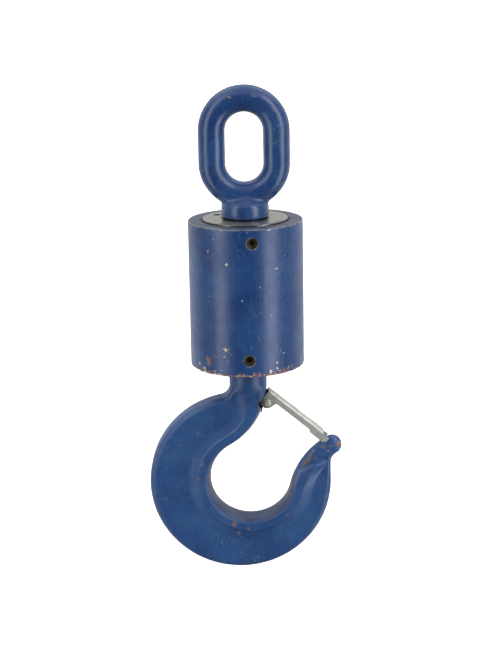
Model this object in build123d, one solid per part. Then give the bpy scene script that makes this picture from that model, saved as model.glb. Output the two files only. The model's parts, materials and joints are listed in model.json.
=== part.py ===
"""Crane hook block: a round weight with a swivelling lifting eye on top and a swivelling hook below.

Millimetres, +Z up.  The origin is the centre of the top arc of the eye's opening, where the
crane's own hook or shackle bears.  +X points to the open side of the hook, and the hook, its
latch and the eye's ring lie in the XZ plane.

Each end of the weight holds the same stack.  From the outside in it is a gland ring with a
bronze bush and a seal, a thrust bearing, and a round nut on the end of the swivelling shank.
The sub-parts are drawn with Z = 0 on the weight's top face and moved into place when written.
"""
from build123d import *
import math
import os
from types import SimpleNamespace

# --------------------------------------------------------------------------- driving dimensions
# Weight body
body_diameter = 120.0
body_web = 21.0                 # solid steel left between the two pockets
body_top_fillet = 1.5
body_bottom_fillet = 2.5
bearing_room = 6.0              # from the larger bearing to the pocket's wall
pocket_end_gap = 4.0            # from the end of a shank to the bottom of its pocket

# Gland rings, one screwed into each end of the body
ring_seat_width = 5.0           # shelf around the pocket that the ring sits on
ring_thickness = 26.0
ring_proud = 1.5                # how far a ring stands out of the body
ring_groove_width = 1.2         # chamfer-like groove around the ring
ring_groove_depth = 1.5
ring_edge_chamfer = 0.5
bearing_seat_depth = 2.0        # counterbore in the ring that centres the bearing
seal_height = 6.0
gland_bush_wall = 4.0
spanner_hole_diameter = 8.0
spanner_hole_depth = 10.0
spanner_hole_inset = 11.0       # from the ring's edge to the hole's centre
spanner_hole_angles = (150.0, 60.0)

# Radial screws that lock the gland rings
lock_screw_diameter = 12.0
lock_screw_recess = 5.0         # depth of the screw's outer end below the body's surface
lock_screw_bite = 3.0           # how far its point enters the gland ring
lock_screw_socket = 6.0         # across the flats
lock_screw_socket_depth = 5.0
upper_screw_height = 14.5       # from the top face down
lower_screw_height = 17.5       # from the bottom face up
upper_screw_angle = -83.5
lower_screw_angle = -88.0

# Lifting eye
eye_bar_diameter = 28.0
eye_opening_width = 39.0
eye_opening_height = 72.2
eye_opening_drop = 39.3         # from the body's top face up to the bottom of the opening
collar_diameter = 50.0
collar_height = 13.0
collar_edge_fillet = 3.0
collar_gap = 1.0                # between the collar and the gland ring
shoulder_bury = 7.0             # how deep the collar's cone enters the eye's lower bar

# Shanks, thrust bearings and nuts: one set for the eye, one for the hook
eye_shank_diameter = 40.0
eye_bearing_section = 14.0      # from the bearing's bore to its outer edge
eye_bearing_height = 19.0
eye_ball_diameter = 9.525
eye_ball_count = 15
eye_nut_wall = 13.0

hook_shank_diameter = 35.0
hook_bearing_section = 13.5
hook_bearing_height = 18.0
hook_ball_diameter = 8.731
hook_ball_count = 14
hook_nut_wall = 12.5

bearing_washer_share = 0.3      # each washer's thickness over the bearing's height
thread_step = 2.0               # from the shank's surface in to the thread
nut_height = 20.0
nut_chamfer = 2.0
nut_pin_diameter = 8.0
shank_end = 2.0                 # shank length beyond the nut

# Hook, measured from the body's bottom face and from the shank's axis
neck_diameter = 40.0
bowl_radius = 43.2
bowl_offset = 1.4               # bowl centre to the right of the axis
bowl_drop = 127.7               # bowl centre below the body
throat_arc_drop = 22.3          # where the neck starts to curve away
back_depth = 65.4               # metal behind the bowl, at its deepest
back_radius_step = 52.5         # outer edge's radius behind the bowl, beyond the bowl's own
front_radius_step = 54.3        # the same under the bowl
back_centre_sink = 3.0          # outer arcs' centres below the bowl's
shoulder_fillet = 12.0          # between the neck and the outer edge
nose_start_angle = -13.0        # where the bowl's arc ends, seen from its centre
nose_tip_radius = 10.2
nose_tip_reach = 44.7           # tip's centre beyond the bowl's edge
nose_tip_rise = 35.1            # tip's centre above the bowl's
nose_neck_fillet = 12.0         # hollow under the nose tip
web_thickness = 30.0
web_edge_fillet = 2.5
bead_thickness = 38.0
bead_width = 14.0
bead_crown = 8.0                # rounding of the saddle's edges
bead_start_drop = 35.0          # where the bead leaves the back of the neck
nose_side_gap = 1.1             # beside the nose, inside the latch
nose_taper_length = 36.0        # height over which the web thins down to the nose

# Latch, measured along itself from its pivot
pivot_drop = 42.6               # pivot below the body, in line with the neck's side
latch_nose_offset = 5.7         # the closed latch's pivot line passes this far below the nose
latch_width = 16.0
latch_sheet = 1.5
latch_top = 11.65               # from the pivot up to the outer face of the channel
latch_web_gap = 6.5             # from the end of the web to the nose
latch_nose_overlap = 2.0        # how far the sides reach past the nose's near edge
latch_side_bottom = 4.6         # lower edge of the side plates, above the pivot's line
latch_flare_start = 54.0
latch_flare = 1.2               # how far each side steps outwards near the nose
latch_flare_bottom = 2.5
latch_end_chamfer = 3.2
latch_heel = 6.4                # channel behind the pivot
latch_ear_radius = 6.9
lug_radius = 6.8
relief_radius = 8.4             # neck cut away beside the lug
relief_length = 16.0
nose_relief = 6.0               # bead cut away beyond the ends of the latch's sides
nose_relief_start = 20.0        # from the pivot across to where that cut begins

# Latch bolt, nut and spring
bolt_diameter = 5.0
bolt_head_rim = 2.0             # bolt head beyond its shank, radially
bolt_head_height = 3.2
bolt_end = 1.6                  # bolt beyond the nut
bolt_nut_rim = 1.5              # nut's flats beyond the bolt
bolt_nut_height = 4.2
spring_wire = 1.3
spring_coil_gap = 0.75          # from the bolt to the inside of the coil
spring_room = 3.5               # between the lug and each side of the latch
spring_pitch = 1.4
spring_bend_swell = 0.02        # wire's radius grows this much where it is bent sharply
spring_whole_turns = 1
spring_leg_reach = 12.4         # from the pivot to the tip of the leg on the neck
spring_leg_angle = 240.0        # where that tip lies, in degrees about the pivot
spring_arm_length = 38.0        # from the pivot along the latch
spring_groove = 2.2             # radius of the groove that the leg lies in

# Clearances
running_gap = 0.05              # radial, shank in bush
seal_gap = 0.1
washer_gap = 1.0                # shank to the bearing washer that stands still
cage_gap = 0.1                  # around each ball, and around the ring's bearing seat
cage_side_gap = 0.25            # cage to the shank
latch_gap = 0.3
latch_stop_gap = 0.15

# -------------------------------------------------------------------------------- derived sizes
def swivel(shank, section, height, ball, count, wall):
    """Sizes of one swivel stack, with depths counted from the body's end face inwards."""
    s = SimpleNamespace(shank=shank, section=section, height=height, ball=ball, count=count)
    s.bearing = shank + 2 * section
    s.thread = shank - 2 * thread_step
    s.nut = s.thread + 2 * wall
    s.washer = height * bearing_washer_share
    s.bush_diameter = shank + 2 * gland_bush_wall
    s.ring_seat = ring_thickness - ring_proud
    s.bearing_start = s.ring_seat - bearing_seat_depth
    s.nut_start = s.bearing_start + height
    s.shank_tip = s.nut_start + nut_height + shank_end
    s.pocket = s.shank_tip + pocket_end_gap
    s.ball_circle = shank + section
    return s


eye_swivel = swivel(eye_shank_diameter, eye_bearing_section, eye_bearing_height,
                    eye_ball_diameter, eye_ball_count, eye_nut_wall)
hook_swivel = swivel(hook_shank_diameter, hook_bearing_section, hook_bearing_height,
                     hook_ball_diameter, hook_ball_count, hook_nut_wall)

body_height = eye_swivel.pocket + body_web + hook_swivel.pocket
cavity_diameter = max(eye_swivel.bearing, hook_swivel.bearing) + 2 * bearing_room
ring_diameter = cavity_diameter + 2 * ring_seat_width
spanner_hole_radius = ring_diameter / 2 - spanner_hole_inset
eye_arc_radius = eye_opening_width / 2
eye_bar_circle = eye_arc_radius + eye_bar_diameter / 2
eye_low_centre = eye_opening_drop + eye_arc_radius
eye_high_centre = eye_opening_drop + eye_opening_height - eye_arc_radius

back_radius = bowl_radius + back_radius_step
front_radius = bowl_radius + front_radius_step
nose_tip_x = bowl_offset + bowl_radius + nose_tip_reach
nose_tip_z = -body_height - bowl_drop + nose_tip_rise
nose_thickness = latch_width + 2 * (latch_flare - latch_sheet - nose_side_gap)
lug_thickness = latch_width - 2 * (latch_sheet + spring_room)

pivot_x = neck_diameter / 2
pivot_z = -body_height - pivot_drop
nose_distance = math.hypot(nose_tip_x - pivot_x, nose_tip_z - pivot_z)
latch_slope = math.degrees(math.atan2(pivot_z - nose_tip_z, nose_tip_x - pivot_x)
                           + math.asin(latch_nose_offset / nose_distance))
nose_near_edge = math.sqrt(nose_distance ** 2 - latch_nose_offset ** 2) - nose_tip_radius
latch_web_end = nose_near_edge - latch_web_gap
latch_side_end = nose_near_edge + latch_nose_overlap

bolt_head_diameter = bolt_diameter + 2 * bolt_head_rim
bolt_nut_flats = bolt_diameter + 2 * bolt_nut_rim
spring_coil_radius = bolt_diameter / 2 + spring_coil_gap + spring_wire / 2

# Mirrors a stack drawn from the top face inwards onto the body's bottom face.
FLIP = Pos(0, 0, -body_height) * Rot(180, 0, 0)


# ------------------------------------------------------------------------------------- helpers
def rod(diameter, low, high):
    """Round bar on the axis between two heights."""
    return Pos(0, 0, low) * Cylinder(diameter / 2, high - low,
                                     align=(Align.CENTER, Align.CENTER, Align.MIN))


def tube(outer, inner, low, high):
    return rod(outer, low, high) - rod(inner, low - 1, high + 1)


def cross_rod(diameter, x, z, low, high):
    """Round bar along Y."""
    bar = Rot(-90, 0, 0) * Cylinder(diameter / 2, high - low,
                                    align=(Align.CENTER, Align.CENTER, Align.MIN))
    return Pos(x, low, z) * bar


def radial_rod(diameter, angle, z, inner, outer):
    """Round bar that points out from the axis."""
    bar = Rot(0, 90, 0) * Cylinder(diameter / 2, outer - inner,
                                   align=(Align.CENTER, Align.CENTER, Align.MIN))
    return Rot(0, 0, angle) * Pos(inner, 0, z) * bar


def plate(outline, thickness, middle=0.0):
    """Flat piece in the XZ plane, centred on the given Y."""
    return Pos(0, middle, 0) * extrude(Plane.XZ * outline, thickness / 2, both=True)


def polar(centre, radius, degrees):
    a = math.radians(degrees)
    return (centre[0] + radius * math.cos(a), centre[1] + radius * math.sin(a))


def toward(centre, target, radius):
    """Point at a distance from a centre, in the direction of a target."""
    length = math.hypot(target[0] - centre[0], target[1] - centre[1])
    return (centre[0] + (target[0] - centre[0]) * radius / length,
            centre[1] + (target[1] - centre[1]) * radius / length)


def arc(centre, radius, start, end, side):
    """Arc between two points of a circle, passing the side point's direction."""
    return ThreePointArc(start, toward(centre, side, radius), end)


# ------------------------------------------------------------------------------------- the body
def weight_body():
    body = rod(body_diameter, -body_height, 0)
    body = fillet(body.edges().group_by(Axis.Z)[-1], body_top_fillet)
    body = fillet(body.edges().group_by(Axis.Z)[0], body_bottom_fillet)
    for stack, place in ((eye_swivel, Pos()), (hook_swivel, FLIP)):
        pocket = rod(ring_diameter, -stack.ring_seat, 1)
        pocket += rod(cavity_diameter, -stack.pocket, -stack.ring_seat + 1)
        pocket += rod(ring_diameter + 2 * ring_groove_width, -ring_groove_depth, 1)
        body -= place * pocket
    for angle, z in screw_places():
        body -= radial_rod(lock_screw_diameter, angle, z, ring_diameter / 2 - 1, body_diameter)
    return body


def screw_places():
    return ((upper_screw_angle, -upper_screw_height),
            (lower_screw_angle, -body_height + lower_screw_height))


def gland_ring(stack, screw_angle, screw_depth):
    """Drawn in the top end; a ring stands proud of the face and screws in to its seat."""
    ring = tube(ring_diameter, stack.bush_diameter, -stack.ring_seat, ring_proud)
    rim = ring.edges().filter_by(GeomType.CIRCLE).group_by(Axis.Z)[-1]
    ring = chamfer(rim.sort_by(SortBy.RADIUS)[-1], ring_edge_chamfer)
    ring -= rod(stack.bearing + 2 * cage_gap, -stack.ring_seat - 1, -stack.bearing_start)
    for angle in spanner_hole_angles:
        ring -= (Rot(0, 0, angle) * Pos(spanner_hole_radius, 0, ring_proud)
                 * Cylinder(spanner_hole_diameter / 2, 2 * spanner_hole_depth))
    ring -= radial_rod(lock_screw_diameter, screw_angle, -screw_depth,
                       ring_diameter / 2 - lock_screw_bite, ring_diameter)
    return ring


def lock_screw(angle, z):
    inner = ring_diameter / 2 - lock_screw_bite
    outer = body_diameter / 2 - lock_screw_recess
    screw = radial_rod(lock_screw_diameter, angle, z, inner, outer)
    hexagon = RegularPolygon(lock_screw_socket / 2, 6, major_radius=False)
    socket = extrude(hexagon, 2 * lock_screw_socket_depth, both=True)
    depth = min(lock_screw_socket_depth, (outer - inner) / 2)
    place = Rot(0, 0, angle) * Pos(outer + 2 * lock_screw_socket_depth - depth, 0, z)
    return screw - place * Rot(0, 90, 0) * socket


# ------------------------------------------------------------------------- one swivel's pieces
def bush(stack):
    """Flanged inside the bore: it fills the ring below the seal."""
    return tube(stack.bush_diameter, stack.shank + 2 * running_gap,
                -stack.bearing_start, ring_proud - seal_height)


def seal(stack):
    return tube(stack.bush_diameter, stack.shank + 2 * seal_gap,
                ring_proud - seal_height, ring_proud)


def ball_track(stack):
    """Ring-shaped groove that the balls run in, a little larger than the balls."""
    middle = -stack.bearing_start - stack.height / 2
    return Pos(0, 0, middle) * Torus(stack.ball_circle / 2, stack.ball / 2 + running_gap)


def housing_washer(stack):
    top = -stack.bearing_start
    washer = tube(stack.bearing, stack.shank + 2 * washer_gap, top - stack.washer, top)
    return washer - ball_track(stack)


def shaft_washer(stack):
    low = -stack.nut_start
    return tube(stack.bearing, stack.shank, low, low + stack.washer) - ball_track(stack)


def ball_places(stack):
    middle = -stack.bearing_start - stack.height / 2
    return [Rot(0, 0, 360 * i / stack.count) * Pos(stack.ball_circle / 2, 0, middle)
            for i in range(stack.count)]


def bearing_balls(stack):
    return Compound([place * Sphere(stack.ball / 2) for place in ball_places(stack)])


def bearing_cage(stack):
    middle = -stack.bearing_start - stack.height / 2
    half = stack.height * (0.5 - bearing_washer_share) / 2
    width = stack.section / 2 - cage_side_gap
    cage = tube(stack.ball_circle + 2 * width, stack.ball_circle - 2 * width,
                middle - half, middle + half)
    for place in ball_places(stack):
        cage -= place * Cylinder(stack.ball / 2 + cage_gap, stack.height)
    return cage


def round_nut(stack):
    low = -stack.nut_start - nut_height
    nut = tube(stack.nut, stack.thread, low, -stack.nut_start)
    edge = nut.edges().filter_by(GeomType.CIRCLE).sort_by(SortBy.RADIUS)[-2:]
    nut = chamfer(edge, nut_chamfer)
    return nut - nut_pin(stack)


def nut_pin(stack):
    """Cross pin through the nut and the shank."""
    middle = -stack.nut_start - nut_height / 2
    return cross_rod(nut_pin_diameter, 0, middle, -stack.nut / 2, stack.nut / 2)


def shank(stack, top):
    """Plain journal through the bush and bearing, then the threaded end."""
    journal = rod(stack.shank, -stack.nut_start, top)
    end = rod(stack.thread, -stack.shank_tip, -stack.nut_start)
    end = chamfer(end.edges().group_by(Axis.Z)[0], shank_end / 2)
    return journal + end - nut_pin(stack)


# ------------------------------------------------------------------------------------- the eye
def eye_ring():
    """Round bar bent into a closed oval."""
    bar = Pos(eye_bar_circle, 0) * Circle(eye_bar_diameter / 2)
    half = Rot(90, 0, 0) * revolve(Plane.XZ * bar, Axis.Z, 180)
    side = Cylinder(eye_bar_diameter / 2, eye_high_centre - eye_low_centre,
                    align=(Align.CENTER, Align.CENTER, Align.MIN))
    ring = Pos(0, 0, eye_high_centre) * half
    ring += Pos(0, 0, eye_low_centre) * Rot(0, 180, 0) * half
    for x in (-eye_bar_circle, eye_bar_circle):
        ring += Pos(x, 0, eye_low_centre) * side
    return ring


def lifting_eye():
    base = ring_proud + collar_gap
    collar = rod(collar_diameter, base, base + collar_height)
    collar = fillet(collar.edges().group_by(Axis.Z)[0], collar_edge_fillet)
    shoulder_height = eye_opening_drop - shoulder_bury - base - collar_height
    shoulder = Pos(0, 0, base + collar_height) * Cone(
        collar_diameter / 2, eye_bar_diameter / 2, shoulder_height,
        align=(Align.CENTER, Align.CENTER, Align.MIN))
    return eye_ring() + collar + shoulder + shank(eye_swivel, base)


# ------------------------------------------------------------------------------------ the hook
def hook_geometry():
    """Centres, radii and tangent points of the hook's outline, as (x, z)."""
    g = SimpleNamespace()
    half_neck = neck_diameter / 2
    g.bowl = (bowl_offset, -body_height - bowl_drop)

    def throat(start_x, start_z, radius, sign):
        """Arc that leaves a vertical line and meets a circle about the bowl's centre."""
        dx = sign * (g.bowl[0] - start_x)
        dz = start_z - g.bowl[1]
        arc_radius = (dx * dx + dz * dz - radius * radius) / (2 * (radius + dx))
        centre = (start_x - arc_radius, start_z)
        return centre, arc_radius, toward(g.bowl, centre, radius)

    g.throat_start = (half_neck, -body_height - throat_arc_drop)
    g.throat_centre, g.throat_radius, g.throat_end = throat(*g.throat_start, bowl_radius, -1)
    g.bead_start = (-half_neck, -body_height - bead_start_drop)
    g.bead_centre, g.bead_radius, g.bead_end = throat(*g.bead_start, bowl_radius + bead_width, -1)

    g.tip = (nose_tip_x, nose_tip_z)
    a = math.radians(nose_start_angle)
    ux, uz = math.cos(a), math.sin(a)
    kx, kz = g.tip[0] - g.bowl[0], g.tip[1] - g.bowl[1]
    total = bowl_radius + nose_tip_radius
    reach = (kx * kx + kz * kz - total * total) / (2 * (kx * ux + kz * uz - total))
    g.nose_radius = reach - bowl_radius
    g.nose_centre = (g.bowl[0] + reach * ux, g.bowl[1] + reach * uz)
    g.nose_start = polar(g.bowl, bowl_radius, nose_start_angle)
    g.nose_end = toward(g.nose_centre, g.tip, g.nose_radius)

    centre_z = g.bowl[1] - back_centre_sink
    g.heel = (g.bowl[0] - bowl_radius - back_depth, centre_z)
    g.back = (g.heel[0] + back_radius, centre_z)
    g.front = (g.heel[0] + front_radius, centre_z)
    g.outer_x = g.front[0] + front_radius
    g.front_end = (g.outer_x, centre_z)

    hollow_x = g.outer_x + nose_neck_fillet
    across = hollow_x - g.tip[0]
    span = nose_tip_radius + nose_neck_fillet
    g.hollow = (hollow_x, g.tip[1] - math.sqrt(span * span - across * across))
    g.hollow_start = toward(g.tip, g.hollow, nose_tip_radius)
    g.hollow_end = (g.outer_x, g.hollow[1])

    fillet_x = -half_neck - shoulder_fillet
    span = back_radius + shoulder_fillet
    rise = math.sqrt(span * span - (fillet_x - g.back[0]) ** 2)
    g.shoulder = (fillet_x, centre_z + rise)
    g.shoulder_start = toward(g.back, g.shoulder, back_radius)
    g.shoulder_end = (-half_neck, g.shoulder[1])
    return g


def midpoint(a, b):
    return ((a[0] + b[0]) / 2, (a[1] + b[1]) / 2)


def around(centre, radius, start, end, low):
    """A wide arc about a centre, from its left side down past a low point and up to its right."""
    left = (centre[0] - radius, centre[1])
    return [arc(centre, radius, start, low, left), arc(centre, radius, low, end, midpoint(low, end))]


def inner_edges(g):
    """Neck, throat and bowl, up to where the nose starts."""
    low = polar(g.bowl, bowl_radius, -100)
    throat = arc(g.throat_centre, g.throat_radius, g.throat_start, g.throat_end,
                 midpoint(g.throat_start, g.throat_end))
    return [throat] + around(g.bowl, bowl_radius, g.throat_end, g.nose_start, low)


def hook_outline(g):
    """The forging's side view, all tangent arcs, closed across the neck."""
    beyond = (g.outer_x + nose_tip_radius, g.tip[1])
    under = (g.front[0], g.front[1] - front_radius)
    edges = inner_edges(g) + [
        arc(g.nose_centre, g.nose_radius, g.nose_start, g.nose_end,
            midpoint(g.nose_start, g.nose_end)),
        arc(g.tip, nose_tip_radius, g.nose_end, g.hollow_start, beyond),
        arc(g.hollow, nose_neck_fillet, g.hollow_start, g.hollow_end,
            midpoint(g.hollow_start, g.hollow_end)),
        Line(g.hollow_end, g.front_end),
        arc(g.front, front_radius, g.front_end, g.heel, under),
        arc(g.back, back_radius, g.heel, g.shoulder_start, midpoint(g.heel, g.shoulder_start)),
        arc(g.shoulder, shoulder_fillet, g.shoulder_start, g.shoulder_end,
            midpoint(g.shoulder_start, g.shoulder_end)),
        Line(g.shoulder_end, g.throat_start),
    ]
    return make_face(edges)


def bead_outline(g):
    """Thick band along the inside of the hook, from the neck to the nose."""
    ridge = bowl_radius + bead_width
    nose_side = toward(g.nose_centre, pivot_point(), g.nose_radius)
    ridge_end = (nose_side[0] + bead_width, nose_side[1])
    ridge_side = polar(g.bowl, ridge, nose_start_angle)
    neck_corner = (g.bead_start[0], g.throat_start[1])
    edges = inner_edges(g) + [
        arc(g.nose_centre, g.nose_radius, g.nose_start, nose_side,
            midpoint(g.nose_start, nose_side)),
        Line(nose_side, ridge_end),
        Line(ridge_end, ridge_side),
        *around(g.bowl, ridge, g.bead_end, ridge_side, polar(g.bowl, ridge, -100)),
        arc(g.bead_centre, g.bead_radius, g.bead_end, g.bead_start,
            midpoint(g.bead_end, g.bead_start)),
        Line(g.bead_start, neck_corner),
        Line(neck_corner, g.throat_start),
    ]
    return make_face(edges)


def pivot_point():
    return (pivot_x, pivot_z)


def latch_point(along, above):
    """A point of the closed latch, from distances along it and above its pivot."""
    a = math.radians(-latch_slope)
    return (pivot_x + along * math.cos(a) - above * math.sin(a),
            pivot_z + along * math.sin(a) + above * math.cos(a))


def nose_taper(g):
    """Wedges beside the nose, which thin the web from its full thickness to the nose's."""
    thin = g.hollow[1]
    thick = thin - nose_taper_length
    above = g.tip[1] + 2 * nose_tip_radius
    section = [(web_thickness / 2, thick), (nose_thickness / 2, thin), (nose_thickness / 2, above),
               (web_thickness, above), (web_thickness, thick)]
    start_x = g.nose_start[0] - bead_width
    length = g.tip[0] + 2 * nose_tip_radius - start_x
    wedges = []
    for sign in (-1, 1):
        face = make_face(Polyline(*[(sign * y, z) for y, z in section], close=True))
        wedges.append(Pos(start_x, 0, 0) * extrude(Plane.YZ * face, length))
    return wedges


def nose_clearance():
    """Room for the ends of the latch's sides, on both faces of the nose."""
    radius = latch_side_end + nose_relief
    window = Pos(pivot_x + nose_relief_start, 0, pivot_z) * Box(
        radius, 2 * bead_thickness, 2 * radius, align=(Align.MIN, Align.CENTER, Align.CENTER))
    face = nose_thickness / 2
    return [window & cross_rod(2 * radius, pivot_x, pivot_z, face, bead_thickness),
            window & cross_rod(2 * radius, pivot_x, pivot_z, -bead_thickness, -face)]


def latch_lug():
    """Flat lug that carries the latch and stops it when it is closed."""
    rest = latch_top - latch_sheet - latch_stop_gap
    inside = neck_diameter / 4
    under = lug_radius * 0.9
    lug = Circle(lug_radius).moved(Location((pivot_x, pivot_z)))
    corners = [latch_point(-latch_heel + latch_gap, rest), latch_point(-1.0, rest),
               latch_point(under, 0), latch_point(0, -under),
               (inside, pivot_z - lug_radius), (inside, pivot_z + 2 * lug_radius)]
    lug += make_face(Polyline(*corners, close=True))
    return plate(lug, lug_thickness)


def latch_relief():
    """Clears the neck on both sides of the lug for the latch, its nut and its bolt head."""
    slot = Circle(relief_radius).moved(Location((pivot_x, pivot_z)))
    far = latch_point(0, relief_length)
    slot += Circle(relief_radius).moved(Location(far))
    slot += band(pivot_point(), far, relief_radius)
    slot += Circle(spring_groove).moved(Location(spring_leg_end()))
    slot += band(spring_leg_start(), spring_leg_end(), spring_groove)
    depth = neck_diameter
    return [plate(slot, depth, sign * (lug_thickness + depth) / 2) for sign in (-1, 1)]


def band(a, b, half_width):
    """Flat band between two points of the XZ plane."""
    length = math.hypot(b[0] - a[0], b[1] - a[1])
    nx, nz = -(b[1] - a[1]) * half_width / length, (b[0] - a[0]) * half_width / length
    return make_face(Polyline((a[0] + nx, a[1] + nz), (b[0] + nx, b[1] + nz),
                              (b[0] - nx, b[1] - nz), (a[0] - nx, a[1] - nz), close=True))


def hook():
    g = hook_geometry()
    web = plate(hook_outline(g), web_thickness)
    web = fillet(web.edges().filter_by(lambda e: is_outer_edge(e, g)), web_edge_fillet)
    for wedge in nose_taper(g):
        web -= wedge
    bead = plate(bead_outline(g), bead_thickness)
    bead = fillet(bead.edges().filter_by(lambda e: is_saddle_edge(e, g)), bead_crown)
    neck_top = -body_height - ring_proud - collar_gap
    neck = rod(neck_diameter, g.bead_start[1] - bead_start_drop / 2, neck_top)
    neck += FLIP * shank(hook_swivel, ring_proud + collar_gap)
    body = web + bead
    for cut in nose_clearance():
        body -= cut
    body += neck
    for cut in latch_relief():
        body -= cut
    body += latch_lug()
    body -= cross_rod(bolt_diameter, pivot_x, pivot_z, -neck_diameter, neck_diameter)
    return body


def is_outer_edge(edge, g):
    """Edges of the flat web along the hook's outside."""
    middle = edge @ 0.5
    if abs(abs(middle.Y) - web_thickness / 2) > 0.01:
        return False
    on_front = abs(math.hypot(middle.X - g.front[0], middle.Z - g.front[1]) - front_radius) < 0.01
    on_back = abs(math.hypot(middle.X - g.back[0], middle.Z - g.back[1]) - back_radius) < 0.01
    return on_front or on_back


def is_saddle_edge(edge, g):
    """Edges of the bead around the bowl."""
    middle = edge @ 0.5
    if abs(abs(middle.Y) - bead_thickness / 2) > 0.01:
        return False
    from_bowl = math.hypot(middle.X - g.bowl[0], middle.Z - g.bowl[1])
    from_throat = math.hypot(middle.X - g.throat_centre[0], middle.Z - g.throat_centre[1])
    from_nose = math.hypot(middle.X - g.nose_centre[0], middle.Z - g.nose_centre[1])
    return (abs(from_bowl - bowl_radius) < 0.01 or abs(from_throat - g.throat_radius) < 0.01
            or abs(from_nose - g.nose_radius) < 0.01)


# ----------------------------------------------------------------------------------- the latch
def latch_outline(points):
    return make_face(Polyline(*[latch_point(s, t) for s, t in points], close=True))


def latch():
    """Pressed steel channel: a web above, and two sides that straddle the lug and the nose."""
    half = latch_width / 2
    low = latch_top - latch_sheet
    flared_start = latch_flare_start + 2 * latch_flare
    main = latch_outline([(-latch_heel, latch_top), (flared_start, latch_top),
                          (flared_start, latch_side_bottom),
                          (latch_ear_radius * 1.3, latch_side_bottom),
                          (latch_ear_radius * 0.7, -latch_ear_radius * 0.7),
                          (-latch_heel, 0)])
    ear = main + Circle(latch_ear_radius).moved(Location(pivot_point()))
    flared = latch_outline([(latch_flare_start, latch_top), (latch_side_end, latch_top),
                            (latch_side_end, latch_flare_bottom + latch_end_chamfer),
                            (latch_side_end - latch_end_chamfer, latch_flare_bottom),
                            (flared_start, latch_flare_bottom),
                            (latch_flare_start, latch_side_bottom)])
    narrow_end = latch_flare_start + latch_flare
    narrow_web = latch_outline([(-latch_heel, latch_top), (narrow_end, latch_top),
                                (narrow_end, low), (-latch_heel, low)])
    wide_web = latch_outline([(latch_flare_start, latch_top), (latch_web_end, latch_top),
                              (latch_web_end, low), (latch_flare_start, low)])
    channel = plate(narrow_web, latch_width) + plate(wide_web, latch_width + 2 * latch_flare)
    for sign in (-1, 1):
        channel += plate(ear, latch_sheet, sign * (half - latch_sheet / 2))
        channel += plate(flared, latch_sheet, sign * (half + latch_flare - latch_sheet / 2))
    return channel - cross_rod(bolt_diameter + 2 * cage_gap, pivot_x, pivot_z,
                               -latch_width, latch_width)


def latch_bolt():
    """Round-headed bolt: the head is behind the latch, the nut in front."""
    back = latch_width / 2 + latch_gap
    front = -latch_width / 2 - latch_gap - bolt_nut_height - bolt_end
    bolt = cross_rod(bolt_diameter, pivot_x, pivot_z, front, back)
    head = cross_rod(bolt_head_diameter, pivot_x, pivot_z, back, back + bolt_head_height)
    head = fillet(head.edges().group_by(Axis.Y)[-1], bolt_head_height / 2)
    return bolt + head


def latch_nut():
    front = -latch_width / 2 - latch_gap
    hexagon = RegularPolygon(bolt_nut_flats / 2, 6, major_radius=False)
    nut = Pos(pivot_x, front - bolt_nut_height / 2, pivot_z) * Rot(90, 0, 0) * extrude(
        hexagon, bolt_nut_height / 2, both=True)
    return nut - cross_rod(bolt_diameter, pivot_x, pivot_z, -neck_diameter, neck_diameter)


def latch_spring():
    """Double torsion spring: a coil on each side of the lug, legs on the neck, arm on the latch."""
    pivot = pivot_point()
    above = latch_top - latch_sheet - spring_wire / 2 - latch_stop_gap
    arm_end = latch_point(spring_arm_length, above)
    leg_end = spring_leg_end()
    arm_start_angle = tangent_angle(pivot, arm_end, 1)
    leg_start_angle = spring_leg_start_angle()
    turns = spring_whole_turns + ((leg_start_angle - arm_start_angle) % 360) / 360
    travel = turns * spring_pitch
    inner = lug_thickness / 2 + (spring_room - travel) / 2
    outer = inner + travel

    path = (Pos(pivot[0], -inner, pivot[1]) * Rot(90, 0, 0) * Rot(0, 0, arm_start_angle)
            * Helix(spring_pitch, travel, spring_coil_radius))
    side = sweep((path ^ 0) * Circle(spring_wire / 2), path, is_frenet=True)
    bend = Sphere(spring_wire / 2 + spring_bend_swell)
    for angle, y, end in ((arm_start_angle, -inner, arm_end), (leg_start_angle, -outer, leg_end)):
        start = polar(pivot, spring_coil_radius, angle)
        side += Pos(start[0], y, start[1]) * bend
        side += wire_between((start[0], y, start[1]), (end[0], y, end[1]))
    side += Pos(arm_end[0], -inner, arm_end[1]) * bend
    side += wire_between((arm_end[0], -inner, arm_end[1]), (arm_end[0], 0, arm_end[1]))
    return side + mirror(side, about=Plane.XZ)


def spring_leg_end():
    return polar(pivot_point(), spring_leg_reach, spring_leg_angle)


def spring_leg_start():
    return polar(pivot_point(), spring_coil_radius, spring_leg_start_angle())


def spring_leg_start_angle():
    return tangent_angle(pivot_point(), spring_leg_end(), -1) % 360


def tangent_angle(centre, point, side):
    """Direction of the spring coil's point whose tangent passes through the given point."""
    reach = math.hypot(point[0] - centre[0], point[1] - centre[1])
    direction = math.degrees(math.atan2(point[1] - centre[1], point[0] - centre[0]))
    return direction + side * math.degrees(math.acos(spring_coil_radius / reach))


def wire_between(a, b):
    start, end = Vector(*a), Vector(*b)
    plane = Plane(origin=start, z_dir=end - start)
    return extrude(plane * Circle(spring_wire / 2), (end - start).length)


# -------------------------------------------------------------------------------------- writing
def swivel_parts(name, stack, place):
    return {
        f"{name}_bush": place * bush(stack),
        f"{name}_seal": place * seal(stack),
        f"{name}_housing_washer": place * housing_washer(stack),
        f"{name}_bearing_balls": place * bearing_balls(stack),
        f"{name}_bearing_cage": place * bearing_cage(stack),
        f"{name}_shaft_washer": place * shaft_washer(stack),
        f"{name}_nut": place * round_nut(stack),
        f"{name}_nut_pin": place * nut_pin(stack),
    }


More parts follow.
